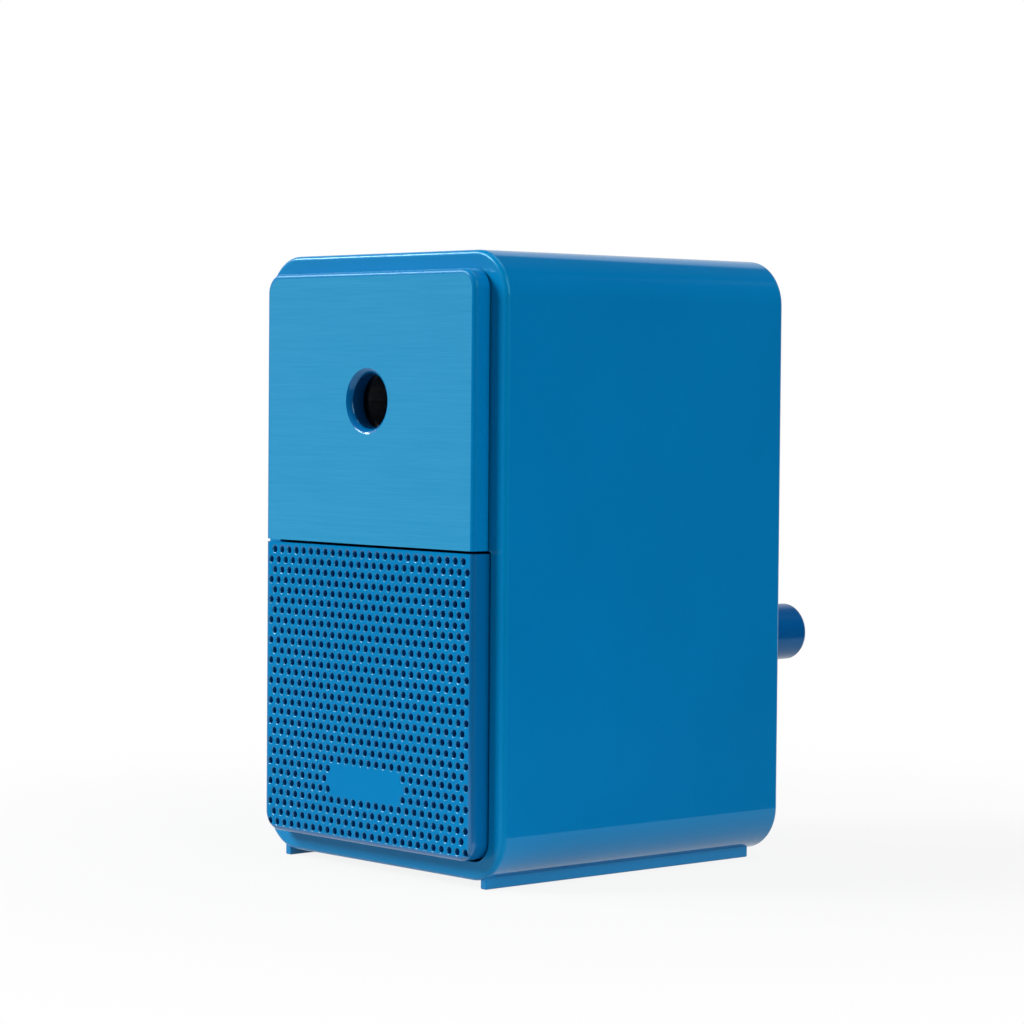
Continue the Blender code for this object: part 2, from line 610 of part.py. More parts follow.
def build_ring_gear():
    """The fixed cup with internal bevel teeth that the cutter's pinion rolls in."""
    web = RING_TIPS * RING_NEAR / 2
    flange_front = RING_BACK - RING_FLANGE_THICKNESS
    profile = [(RING_FLANGE_RADIUS, RING_BACK), (RING_FLANGE_RADIUS, flange_front),
               (RING_OUTER_RADIUS, flange_front), (RING_OUTER_RADIUS, RING_FRONT), (web, RING_FRONT),
               (web, RING_TEETH_BACK), (RING_BORE_RADIUS, RING_TEETH_BACK), (RING_BORE_RADIUS, RING_BACK)]
    ring = turned("ring_gear", profile, CRANK, CAST_METAL, sides=RING_TEETH)
    spaces = star_mesh("ring_tooth_spaces", RING_TEETH, RING_ROOTS, RING_TIPS, RING_SPACE_SHARES,
                       RING_NEAR - OVERSHOOT, RING_FAR + OVERSHOOT, True)
    tool = place("ring_tooth_spaces", spaces, CRANK, location=(0, APEX_DEPTH, 0), rotation=(0, 0, math.pi))
    combine(ring, tool)
    drill(ring, gear_screw_places(), SCREW_HOLE_RADIUS, flange_front - OVERSHOOT, RING_BACK + OVERSHOOT,
          "ring_screw_hole")


def build_carrier():
    """The cast carrier that swings the cutter round the pencil: nose, flange, cradle, neck and hub."""
    neck_front = RING_FRONT - OVERSHOOT
    flange = rod_mesh("cutter_carrier", CARRIER_FLANGE_RADIUS, CARRIER_FLANGE_FRONT, CARRIER_FLANGE_BACK)
    carrier = place("cutter_carrier", flange, CRANK, CAST_METAL)
    lengths = (
        ("nose", NOSE_RADIUS, NOSE_SETBACK, CARRIER_FLANGE_FRONT + OVERSHOOT),
        ("cradle", CARRIER_ARM_RADIUS, CARRIER_FLANGE_BACK - OVERSHOOT, neck_front),
        ("neck", CARRIER_NECK_RADIUS, neck_front - OVERSHOOT, REAR_SUPPORT_BACK),
        ("hub", CARRIER_HUB_RADIUS, REAR_SUPPORT_BACK - OVERSHOOT, CARRIER_BACK),
    )
    for name, radius, front, back in lengths:
        tool_name = f"carrier_{name}"
        combine(carrier, place(tool_name, rod_mesh(tool_name, radius, front, back), CRANK), "UNION")

    reach = CARRIER_ARM_RADIUS + OVERSHOOT
    mouth = box_mesh("carrier_mouth", (-reach, reach, CARRIER_FLANGE_BACK, REAR_SUPPORT_FRONT,
                                       CARRIER_OPEN_HEIGHT, reach))
    combine(carrier, place("carrier_mouth", mouth, CRANK))
    cone_start = POINT_DEPTH - GUIDE_BORE_RADIUS / math.tan(POINT_HALF_ANGLE)
    bore = [(0, POINT_DEPTH), (GUIDE_BORE_RADIUS, cone_start), (GUIDE_BORE_RADIUS, NOSE_SETBACK - OVERSHOOT),
            (0, NOSE_SETBACK - OVERSHOOT)]
    combine(carrier, turned("carrier_bore", bore, CRANK))
    pinion_room = PINION_END * PINION_TIPS + CUTTER_GAP
    rooms = (
        ("cutter", CUTTER_RADIUS + CUTTER_GAP, PINION_END, CUTTER_FAR + FIT, FINE_SIDES),
        ("pinion", pinion_room, PINION_DISTANCE - CUTTER_GAP, CUTTER_NEAR, FINE_SIDES),
        ("axle", AXLE_RADIUS + FIT, AXLE_NEAR - FIT, AXLE_FAR + OVERSHOOT * 2, SMALL_SIDES),
    )
    for name, radius, near, far, sides in rooms:
        tool_name = f"carrier_{name}_room"
        combine(carrier, place(tool_name, rod_mesh(tool_name, radius, near, far, sides), CUTTER_AXIS))
    seat = rod_mesh("carrier_shaft_seat", SHAFT_RADIUS + FIT, SHAFT_FRONT - FIT, CARRIER_BACK + OVERSHOOT)
    combine(carrier, place("carrier_shaft_seat", seat, CRANK))


def build_cutter():
    """The helical cutter and its pinion, which turn together on a fixed axle."""
    axle = rod_mesh("cutter_axle", AXLE_RADIUS, AXLE_NEAR, AXLE_FAR, SMALL_SIDES)
    place("cutter_axle", axle, CUTTER_AXIS, PLATED_STEEL)
    bore = AXLE_RADIUS + FIT

    blades = star_mesh("helical_cutter", CUTTER_TEETH, CUTTER_RADIUS, CUTTER_RADIUS - CUTTER_TOOTH_DEPTH,
                       CUTTER_TOOTH_SHARES, CUTTER_NEAR, CUTTER_FAR, False)
    shaped = bmesh.new()
    shaped.from_mesh(blades)
    flutes = [edge for edge in shaped.edges if abs(edge.verts[0].co.y - edge.verts[1].co.y) > WELD]
    bmesh.ops.subdivide_edges(shaped, edges=flutes, cuts=CUTTER_SEGMENTS - 1)
    shaped.to_mesh(blades)
    shaped.free()
    cutter = place("helical_cutter", blades, CUTTER_AXIS, CUTTER_STEEL)
    twist = cutter.modifiers.new("helix", "SIMPLE_DEFORM")
    twist.deform_method = "TWIST"
    twist.deform_axis = "Y"
    twist.angle = CUTTER_TWIST
    tool = rod_mesh("cutter_bore", bore, CUTTER_NEAR - OVERSHOOT, CUTTER_FAR + OVERSHOOT, SMALL_SIDES)
    combine(cutter, place("cutter_bore", tool, CUTTER_AXIS))

    teeth = star_mesh("cutter_pinion", PINION_TEETH, PINION_TIPS, PINION_ROOTS, PINION_TOOTH_SHARES,
                      PINION_DISTANCE, PINION_END, True)
    pinion = place("cutter_pinion", teeth, CUTTER_AXIS, CUTTER_STEEL)
    hub = rod_mesh("pinion_hub", PINION_HUB_RADIUS, PINION_END - OVERSHOOT, PINION_END + PINION_HUB_LENGTH,
                   SMALL_SIDES)
    combine(pinion, place("pinion_hub", hub, CUTTER_AXIS), "UNION")
    tool = rod_mesh("pinion_bore", bore, PINION_DISTANCE - OVERSHOOT, CUTTER_NEAR + OVERSHOOT, SMALL_SIDES)
    combine(pinion, place("pinion_bore", tool, CUTTER_AXIS))


def build_crank():
    """The shaft with its square end, the flat arm, the screw on the end and the knob on its pin."""
    tenon_back = ARM_BACK - FIT
    profile = [(0, SHAFT_SHOULDER), (SHAFT_RADIUS, SHAFT_SHOULDER), (SHAFT_RADIUS, SHAFT_FRONT),
               (0, SHAFT_FRONT)]
    shaft = turned("crank_shaft", profile, CRANK, PLATED_STEEL, sides=ROUND_SIDES)
    half = TENON_SIZE / 2
    tenon = box_mesh("shaft_tenon", (-half, half, SHAFT_SHOULDER - OVERSHOOT, tenon_back, -half, half))
    combine(shaft, place("shaft_tenon", tenon, CRANK), "UNION")
    screw_seat = ARM_BACK + FIT
    thread = rod_mesh("shaft_thread", SCREW_HOLE_RADIUS, screw_seat - CRANK_SCREW_LENGTH - OVERSHOOT,
                      tenon_back + OVERSHOOT, SMALL_SIDES)
    combine(shaft, place("shaft_thread", thread, CRANK))
    pan_screw("crank_screw", 0, 0, CRANK_SCREW_LENGTH, CRANK, screw_seat, CRANK_SCREW_HEAD_RADIUS)

    end = ARM_WIDTH / 2
    outline = rounded_outline(-end, end, -CRANK_RADIUS - end, end, [end - WELD * 10] * 4)
    arm = place("crank_arm", plate_mesh("crank_arm", outline, ARM_FRONT, ARM_BACK), CRANK, PLATED_STEEL)
    round_edges(arm, ARM_FILLET, 1)
    half = TENON_SIZE / 2 + FIT
    socket = box_mesh("arm_socket", (-half, half, ARM_FRONT - OVERSHOOT, ARM_BACK + OVERSHOOT, -half, half))
    combine(arm, place("arm_socket", socket, CRANK))
    pin_hole = rod_mesh("arm_pin_hole", PIN_RADIUS + FIT, ARM_FRONT - OVERSHOOT, ARM_BACK + OVERSHOOT,
                        SMALL_SIDES)
    combine(arm, place("arm_pin_hole", pin_hole, KNOB_AXIS))

    bore = PIN_RADIUS + FIT
    sink = PIN_HEAD_RADIUS + FIT
    head_back = KNOB_BACK - PIN_HEAD_RECESS
    head_front = head_back - PIN_HEAD_HEIGHT
    body = KNOB_RADIUS - KNOB_FILLET
    profile = fillet_points(body, KNOB_BACK - KNOB_FILLET, KNOB_FILLET, 90)
    profile += fillet_points(body, KNOB_FRONT + KNOB_FILLET, KNOB_FILLET, 0)
    profile += [(bore, KNOB_FRONT), (bore, head_front - FIT), (sink, head_front - FIT), (sink, KNOB_BACK)]
    turned("crank_knob", profile, KNOB_AXIS, KNOB_PLASTIC)
    profile = [(0, head_back), (PIN_HEAD_RADIUS, head_back), (PIN_HEAD_RADIUS, head_front),
               (PIN_RADIUS, head_front), (PIN_RADIUS, ARM_FRONT), (0, ARM_FRONT)]
    turned("knob_pin", profile, KNOB_AXIS, PLATED_STEEL, sides=ROUND_SIDES)


def pit_places():
    """Give the places of the pits, row by row from the top, every other row half a pitch wider."""
    top = DRAWER_TOP - PIT_TOP_MARGIN
    rows = int((top - PANEL_BOTTOM - PIT_BOTTOM_MARGIN) / PIT_ROW_PITCH) + 1
    wide_count = int(2 * (PANEL_HALF_WIDTH - PIT_SIDE_MARGIN) / PIT_COLUMN_PITCH) + 1
    places = []
    for row in range(rows):
        z = top - row * PIT_ROW_PITCH
        count = wide_count - 1 + row % 2
        in_field_rows = abs(z - PANEL_BOTTOM - BARE_FIELD_LEVEL) < BARE_FIELD_HEIGHT / 2
        for column in range(count):
            x = (column - (count - 1) / 2) * PIT_COLUMN_PITCH
            if not (in_field_rows and abs(x) < BARE_FIELD_WIDTH / 2):
                places.append((x, z))
    return places


def pit_mesh(name):
    """Make the cones that cut all the pits."""
    mesh = bpy.data.meshes.new(name)
    shaped = bmesh.new()
    lead = PIT_DEPTH / 2
    height = PIT_DEPTH + lead
    mouth = PIT_RADIUS * height / PIT_DEPTH
    turn = Matrix.Rotation(-math.pi / 2, 4, "X")
    for x, z in pit_places():
        middle = Matrix.Translation((x, PIT_DEPTH - PANEL_PROUD - height / 2, z))
        bmesh.ops.create_cone(shaped, cap_ends=True, segments=PIT_SIDES, radius1=mouth, radius2=0,
                              depth=height, matrix=middle @ turn)
    bmesh.ops.remove_doubles(shaped, verts=shaped.verts, dist=WELD)
    shaped.to_mesh(mesh)
    shaped.free()
    return mesh


def build_drawer():
    """The drawer: its proud front and the open tray behind it."""
    above_split = DRAWER_TOP + 2 * PANEL_RADIUS
    corners = [PANEL_RADIUS] * 4
    outline = rounded_outline(-PANEL_HALF_WIDTH, PANEL_HALF_WIDTH, PANEL_BOTTOM, above_split, corners)
    face = plate_mesh("drawer_front", outline, -PANEL_PROUD, DRAWER_FRONT_DEPTH)
    front = place("drawer_front", face, DRAWER, DRAWER_PLASTIC)
    round_edges(front, PANEL_FILLET)
    trim_at_split(front, DRAWER_TOP, above_split + OVERSHOOT)
    combine(front, place("drawer_pits", pit_mesh("drawer_pits"), DRAWER))

    radii = [PANEL_RADIUS] * 2 + [PANEL_SPLIT_RADIUS] * 2
    outline = rounded_outline(-PANEL_HALF_WIDTH, PANEL_HALF_WIDTH, PANEL_BOTTOM, TRAY_TOP, radii)
    box = plate_mesh("drawer_tray", outline, TRAY_FRONT, TRAY_BACK)
    tray = place("drawer_tray", box, DRAWER, TRAY_PLASTIC)
    radii = [PANEL_RADIUS - TRAY_WALL] * 2 + [PANEL_SPLIT_RADIUS] * 2
    half = PANEL_HALF_WIDTH - TRAY_WALL
    inside = rounded_outline(-half, half, PANEL_BOTTOM + TRAY_WALL, TRAY_TOP + OVERSHOOT * 2, radii)
    hollow = plate_mesh("tray_hollow", inside, TRAY_FRONT + TRAY_WALL, TRAY_BACK - TRAY_WALL)
    combine(tray, place("tray_hollow", hollow, DRAWER))


build_housing()
build_front_panel()
build_back_cover()
build_screws()
build_bearings()
build_ring_gear()
build_carrier()
build_cutter()
build_crank()
build_drawer()
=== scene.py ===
"""Dress the crank pencil sharpener: moulded sleeve, brushed panel, grilled drawer and crank.

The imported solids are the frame. Each class builds the finished form of one sub-assembly around
them, in metres, with X across, Y from the front to the back and Z up.
"""

import json
import logging
import math
from collections.abc import Callable, Iterable, Sequence
from dataclasses import dataclass, field, replace
from enum import Enum
from functools import cache
from typing import Any

import bmesh
import bpy
from mathutils import Matrix, Vector

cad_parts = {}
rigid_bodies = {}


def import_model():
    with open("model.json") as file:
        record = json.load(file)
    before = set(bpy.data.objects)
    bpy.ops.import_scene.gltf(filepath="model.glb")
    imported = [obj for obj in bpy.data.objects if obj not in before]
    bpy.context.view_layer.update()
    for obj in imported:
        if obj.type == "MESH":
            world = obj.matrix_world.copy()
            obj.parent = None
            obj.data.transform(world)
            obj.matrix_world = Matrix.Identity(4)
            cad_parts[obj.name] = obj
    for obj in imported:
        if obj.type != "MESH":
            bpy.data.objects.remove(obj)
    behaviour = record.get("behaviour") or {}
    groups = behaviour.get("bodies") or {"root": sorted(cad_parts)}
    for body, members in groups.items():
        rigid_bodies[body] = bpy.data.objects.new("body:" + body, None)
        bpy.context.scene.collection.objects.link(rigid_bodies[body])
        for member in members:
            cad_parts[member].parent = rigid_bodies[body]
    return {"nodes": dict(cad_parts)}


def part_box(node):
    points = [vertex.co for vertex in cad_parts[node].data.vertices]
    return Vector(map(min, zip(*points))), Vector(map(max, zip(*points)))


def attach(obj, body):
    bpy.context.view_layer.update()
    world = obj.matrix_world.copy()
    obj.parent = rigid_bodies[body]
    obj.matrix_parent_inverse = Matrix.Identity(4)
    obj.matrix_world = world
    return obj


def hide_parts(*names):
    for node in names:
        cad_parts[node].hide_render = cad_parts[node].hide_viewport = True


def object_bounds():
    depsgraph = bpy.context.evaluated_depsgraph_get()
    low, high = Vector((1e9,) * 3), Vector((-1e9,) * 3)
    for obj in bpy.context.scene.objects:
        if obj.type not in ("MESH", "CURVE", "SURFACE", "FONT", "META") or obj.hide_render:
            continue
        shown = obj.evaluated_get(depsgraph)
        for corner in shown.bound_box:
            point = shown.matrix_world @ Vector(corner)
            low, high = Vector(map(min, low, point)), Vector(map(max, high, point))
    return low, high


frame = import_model()
CAD_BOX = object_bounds()

LOG = logging.getLogger("sharpener")
IMAGE_PIXELS = 1024
SENSOR_MM = 36.0

# Points this close together are one point.
WELD = 1e-7
# The radius of a corner that looks sharp.
SHARP_CORNER = WELD * 100
# How far a cutting solid runs past what it cuts.
OVERSHOOT = 0.001
# Where most of a noise's values lie.
NOISE_RANGE = (0.3, 0.7)

COVER_SCREWS = tuple(f"back_cover_screw_{index}" for index in range(1, 5))
GEAR_SCREWS = tuple(f"ring_gear_screw_{index}" for index in range(1, 4))

Point = tuple[float, float, float]
Place = tuple[float, float]
Colour = tuple[float, float, float, float]


class Body(Enum):
    """The moving bodies of the frame."""

    HOUSING = "housing"
    DRAWER = "drawer"
    CRANK = "crank"
    CUTTER = "cutter"
    KNOB = "knob"


class Slot(Enum):
    """The material slots of the record."""

    SLEEVE = "body_plastic"
    PANEL = "panel_plastic"
    DRAWER = "drawer_plastic"
    TRAY = "tray_plastic"
    KNOB = "knob_plastic"
    BEARING = "bearing_plastic"
    CAST = "cast_metal"
    CUTTER = "cutter_steel"
    PLATED = "plated_steel"
    BRASS = "brass"


class Join(Enum):
    """The ways that one solid changes another."""

    CUT = "DIFFERENCE"
    ADD = "UNION"


def srgb(red: int, green: int, blue: int) -> Colour:
    """Turn 8-bit display values into a linear colour.

    Args:
        red: Display red, 0 to 255.
        green: Display green, 0 to 255.
        blue: Display blue, 0 to 255.

    Returns:
        The linear colour with full alpha.
    """
    def linear(value: int) -> float:
        """Undo the display curve of one channel."""
        share = value / 255
        return share / 12.92 if share <= 0.04045 else ((share + 0.055) / 1.055) ** 2.4

    return linear(red), linear(green), linear(blue), 1.0


def shaded(colour: Colour, factor: float) -> Colour:
    """Scale a colour's brightness and keep its alpha.

    Args:
        colour: The linear colour.
        factor: What its channels are multiplied by.

    Returns:
        The scaled colour.
    """
    return colour[0] * factor, colour[1] * factor, colour[2] * factor, colour[3]


@dataclass(frozen=True)
class Outline:
    """A rectangle in X and Z with rounded corners."""

    left: float
    right: float
    bottom: float
    top: float
    low_radius: float
    high_radius: float
    steps: int = 12

    def inset(self, amount: float) -> "Outline":
        """Move every side inwards.

        Args:
            amount: How far, or outwards where it is negative.

        Returns:
            The smaller outline, with its corners still concentric.
        """
        return replace(self, left=self.left + amount, right=self.right - amount,
                       bottom=self.bottom + amount, top=self.top - amount,
                       low_radius=max(self.low_radius - amount, SHARP_CORNER),
                       high_radius=max(self.high_radius - amount, SHARP_CORNER))

    def ring(self, depth: float) -> list[Point]:
        """Give the outline's points at one depth.

        Args:
            depth: The Y of every point.

        Returns:
            The points in order round the outline.
        """
        low, high = self.low_radius, self.high_radius
        corners = ((self.right - low, self.bottom + low, low, 270),
                   (self.right - high, self.top - high, high, 0),
                   (self.left + high, self.top - high, high, 90),
                   (self.left + low, self.bottom + low, low, 180))
        points = []
        for x, z, radius, start in corners:
            for step in range(self.steps + 1):
                angle = math.radians(start + 90 * step / self.steps)
                points.append((x + radius * math.cos(angle), depth, z + radius * math.sin(angle)))
        return points


def outline_of(node: str, low_radius: float, high_radius: float, steps: int = 12) -> Outline:
    """Take an outline from the box of a CAD node.

    Args:
        node: The node's name.
        low_radius: The radius of the two lower corners.
        high_radius: The radius of the two upper corners.
        steps: How many steps a corner has.

    Returns:
        The outline in X and Z.
    """
    low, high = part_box(node)
    return Outline(low.x, high.x, low.z, high.z, low_radius, high_radius, steps)


def centre_of(node: str) -> Place:
    """Give the middle of a CAD node in X and Z."""
    low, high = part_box(node)
    return (low.x + high.x) / 2, (low.z + high.z) / 2


def mesh_from(name: str, shaped: bmesh.types.BMesh) -> bpy.types.Mesh:
    """Close a mesh that is being built.

    Args:
        name: The mesh's name.
        shaped: The working mesh, which is freed.

    Returns:
        The mesh, welded and with its faces outwards.
    """
    bmesh.ops.remove_doubles(shaped, verts=shaped.verts, dist=WELD)
    bmesh.ops.recalc_face_normals(shaped, faces=shaped.faces)
    mesh = bpy.data.meshes.new(name)
    shaped.to_mesh(mesh)
    shaped.free()
    return mesh


def loft(name: str, rings: Sequence[Sequence[Point]], looped: bool = False) -> bpy.types.Mesh:
    """Skin a row of rings that have the same number of points.

    Args:
        name: The mesh's name.
        rings: The rings in order.
        looped: Whether the last ring joins the first, instead of both being capped.

    Returns:
        The closed mesh.
    """
    shaped = bmesh.new()
    rows = [[shaped.verts.new(point) for point in ring] for ring in rings]
    pairs = list(zip(rows, rows[1:]))
    if looped:
        pairs.append((rows[-1], rows[0]))
    count = len(rows[0])
    for near, far in pairs:
        for index in range(count):
            after = (index + 1) % count
            shaped.faces.new((near[index], near[after], far[after], far[index]))
    if not looped:
        shaped.faces.new(rows[0])
        shaped.faces.new(rows[-1])
    return mesh_from(name, shaped)


def rounded_rings(outline: Outline, depth: float, radius: float, rise: float,
                  steps: int = 6) -> list[list[Point]]:
    """Give the rings of a rounded edge, from the face to the side.

    Args:
        outline: The outline of the side.
        depth: The Y of the face.
        radius: The radius of the rounding.
        rise: 1 where the side runs to a larger Y, or -1.
        steps: How many steps the rounding has.

    Returns:
        The rings in order.
    """
    angles = [math.pi / 2 * step / steps for step in range(steps + 1)]
    return [outline.inset(radius * (1 - math.sin(a))).ring(depth + rise * radius * (1 - math.cos(a)))
            for a in angles]


def plate(name: str, outline: Outline, front: float, back: float, front_round: float = 0.0,
          back_round: float = 0.0) -> bpy.types.Mesh:
    """Make a plate with rounded edges.

    Args:
        name: The mesh's name.
        outline: The plate's outline.
        front: The Y of its front face.
        back: The Y of its back face.
        front_round: The radius of the front edge, or 0 for a sharp one.
        back_round: The radius of the back edge, or 0 for a sharp one.

    Returns:
        The closed mesh.
    """
    rings = rounded_rings(outline, front, front_round, 1) if front_round else [outline.ring(front)]
    rings += rounded_rings(outline, back, back_round, -1)[::-1] if back_round else [outline.ring(back)]
    return loft(name, rings)


def slab(name: str, bottom: float, top: float) -> bpy.types.Mesh:
    """Make a level slab that trims a panel at the split.

    Args:
        name: The mesh's name.
        bottom: The Z of its lower face.
        top: The Z of its upper face.

    Returns:
        The slab, wider and deeper than any panel.
    """
    (left, front, _), (right, back, _) = CAD_BOX
    outline = Outline(2 * left, 2 * right, bottom, top, SHARP_CORNER, SHARP_CORNER, 1)
    return plate(name, outline, 2 * front, 2 * back)


def lathe(name: str, profile: Sequence[Place], centre: Place = (0.0, 0.0), sides: int = 64,
          looped: bool = False) -> bpy.types.Mesh:
    """Turn a profile about an axis along Y.

    Args:
        name: The mesh's name.
        profile: Pairs of radius and depth.
        centre: The X and Z of the axis.
        sides: How many sides a turn has.
        looped: Whether the profile is a closed ring that is clear of the axis.

    Returns:
        The closed mesh.
    """
    turns = [2 * math.pi * side / sides for side in range(sides)]
    rings = [[(centre[0] + radius * math.cos(a), depth, centre[1] + radius * math.sin(a)) for a in turns]
             for radius, depth in profile]
    return loft(name, rings, looped)


def bar_about(node: str, name: str, radius: float, start: float, end: float,
              sides: int = 64) -> bpy.types.Mesh:
    """Make a round bar along Y about the middle of a CAD node.

    Args:
        node: The node's name.
        name: The mesh's name.
        radius: The bar's radius.
        start: The Y of its first end.
        end: The Y of its other end.
        sides: How many sides it has.

    Returns:
        The closed mesh.
    """
    return lathe(name, [(radius, start), (radius, end)], centre_of(node), sides)


def arc(radius: float, depth: float, size: float, start: float, end: float, steps: int = 6) -> list[Place]:
    """Give the points of a round on a profile.

    Args:
        radius: The radius at which the round is centred.
        depth: The depth at which it is centred.
        size: The round's own radius.
        start: The angle of its first point in degrees, where 0 points outwards and 90 to the back.
        end: The angle of its last point in degrees.
        steps: How many steps it has.

    Returns:
        Pairs of radius and depth.
    """
    angles = [math.radians(start + (end - start) * step / steps) for step in range(steps + 1)]
    return [(radius + size * math.cos(a), depth + size * math.sin(a)) for a in angles]


def merged(name: str, meshes: Iterable[bpy.types.Mesh]) -> bpy.types.Mesh:
    """Put separate solids into one mesh.

    Args:
        name: The mesh's name.
        meshes: The solids, which are removed.

    Returns:
        The mesh that holds them all.
    """
    shaped = bmesh.new()
    for mesh in meshes:
        shaped.from_mesh(mesh)
        bpy.data.meshes.remove(mesh)
    return mesh_from(name, shaped)


def add_object(name: str, mesh: bpy.types.Mesh) -> bpy.types.Object:
    """Put a mesh into the scene at the origin.

    Args:
        name: The object's name.
        mesh: Its mesh.

    Returns:
        The object.
    """
    piece = bpy.data.objects.new(name, mesh)
    bpy.context.scene.collection.objects.link(piece)
    return piece


def settle(piece: bpy.types.Object) -> bpy.types.Mesh:
    """Turn what an object's modifiers make into a plain mesh.

    Args:
        piece: The object, which is removed with its own mesh.

    Returns:
        The plain mesh.
    """
    graph = bpy.context.evaluated_depsgraph_get()
    made = bpy.data.meshes.new_from_object(piece.evaluated_get(graph), preserve_all_data_layers=True,
                                           depsgraph=graph)
    source = piece.data
    bpy.data.objects.remove(piece)
    bpy.data.meshes.remove(source)
    return made


def carve(mesh: bpy.types.Mesh, tool: bpy.types.Mesh, join: Join = Join.CUT) -> bpy.types.Mesh:
    """Cut one solid out of another, or add it.

    Args:
        mesh: The solid that is changed, which is removed.
        tool: The solid that changes it, which is removed.
        join: Whether the tool is cut out or added.

    Returns:
        The changed solid.
    """
    piece = add_object(mesh.name, mesh)
    cutter = add_object(tool.name, tool)
    boolean = piece.modifiers.new("carve", "BOOLEAN")
    boolean.object = cutter
    boolean.operation = join.value
    boolean.solver = "EXACT"
    made = settle(piece)
    bpy.data.objects.remove(cutter)
    bpy.data.meshes.remove(tool)
    return made


def soften(mesh: bpy.types.Mesh, sharp: float = 35.0) -> bpy.types.Mesh:
    """Shade a mesh smoothly, with flat faces flat and corners sharp.

    Args:
        mesh: The mesh, which is removed.
        sharp: The angle in degrees from which an edge stays sharp.

    Returns:
        The mesh with its own normals.
    """
    shaped = bmesh.new()
    shaped.from_mesh(mesh)
    bmesh.ops.remove_doubles(shaped, verts=shaped.verts, dist=WELD)
    for face in shaped.faces:
        face.smooth = True
    for edge in shaped.edges:
        edge.smooth = edge.calc_face_angle(0.0) < math.radians(sharp)
    shaped.to_mesh(mesh)
    shaped.free()
    piece = add_object(mesh.name, mesh)
    weighted = piece.modifiers.new("weighted", "WEIGHTED_NORMAL")
    weighted.keep_sharp = True
    weighted.weight = 100
    return settle(piece)


class PatternTree:
    """A Geometry Nodes tree with named inputs that ends in realised, dressed geometry."""

    def __init__(self, name: str, **inputs: str) -> None:
        """Start a tree.

        Args:
            name: The tree's name.
            **inputs: The type of each input after the geometry, such as Float or Object, by its name.
        """
        self.group = bpy.data.node_groups.new(name, "GeometryNodeTree")
        face = self.group.interface
        face.new_socket("Geometry", in_out="OUTPUT", socket_type="NodeSocketGeometry")
        face.new_socket("Geometry", in_out="INPUT", socket_type="NodeSocketGeometry")
        self.ids = {label: face.new_socket(label, in_out="INPUT", socket_type=f"NodeSocket{kind}").identifier
                    for label, kind in (inputs | {"finish": "Material"}).items()}
        self.entry = self.group.nodes.new("NodeGroupInput").outputs
        self.exit = self.group.nodes.new("NodeGroupOutput").inputs

    def add(self, kind: str, inputs: dict[str | int, Any], **settings: Any) -> bpy.types.NodeOutputs:
        """Add a node.

        Args:
            kind: The node's type.
            inputs: A value, or an output to link, for each input by its name or index.
            **settings: The node's own properties.

        Returns:
            The node's outputs.
        """
        node = self.group.nodes.new(kind)
        for label, value in settings.items():
            setattr(node, label, value)
        for key, value in inputs.items():
            if isinstance(value, bpy.types.NodeSocket):
                self.group.links.new(value, node.inputs[key])
            else:
                node.inputs[key].default_value = value
        return node.outputs

    def sum(self, operation: str, *values: Any) -> bpy.types.NodeSocket:
        """Work out one number.

        Args:
            operation: The operation of a Math node.
            *values: Its numbers or outputs.

        Returns:
            The result's output.
        """
        return self.add("ShaderNodeMath", dict(enumerate(values)), operation=operation)[0]

    def half(self, value: Any) -> bpy.types.NodeSocket:
        """Halve a number."""
        return self.sum("MULTIPLY", value, 0.5)

    def test(self, operation: str, first: Any, second: Any) -> bpy.types.NodeSocket:
        """Compare two numbers.

        Args:
            operation: The operation of a Compare node.
            first: A number or an output.
            second: A number or an output.

        Returns:
            The output that says whether it holds.
        """
        return self.add("FunctionNodeCompare", {0: first, 1: second}, data_type="FLOAT",
                        operation=operation)[0]

    def close(self, geometry: bpy.types.NodeSocket) -> None:
        """End the tree with realised instances in their finish.

        Args:
            geometry: The output that holds what the tree made.
        """
        solid = self.add("GeometryNodeRealizeInstances", {"Geometry": geometry})[0]
        dressed = self.add("GeometryNodeSetMaterial", {"Geometry": solid,
                                                       "Material": self.entry["finish"]})[0]
        self.group.links.new(dressed, self.exit[0])

    def grow(self, mesh: bpy.types.Mesh, **values: Any) -> bpy.types.Mesh:
        """Run the tree on a mesh.

        Args:
            mesh: The mesh that goes in, which is removed.
            **values: The value of each input by its name.

        Returns:
            The plain mesh that comes out.
        """
        piece = add_object(mesh.name, mesh)
        modifier = piece.modifiers.new(self.group.name, "NODES")
        modifier.node_group = self.group
        for label, value in values.items():
            modifier[self.ids[label]] = value
        return settle(piece)


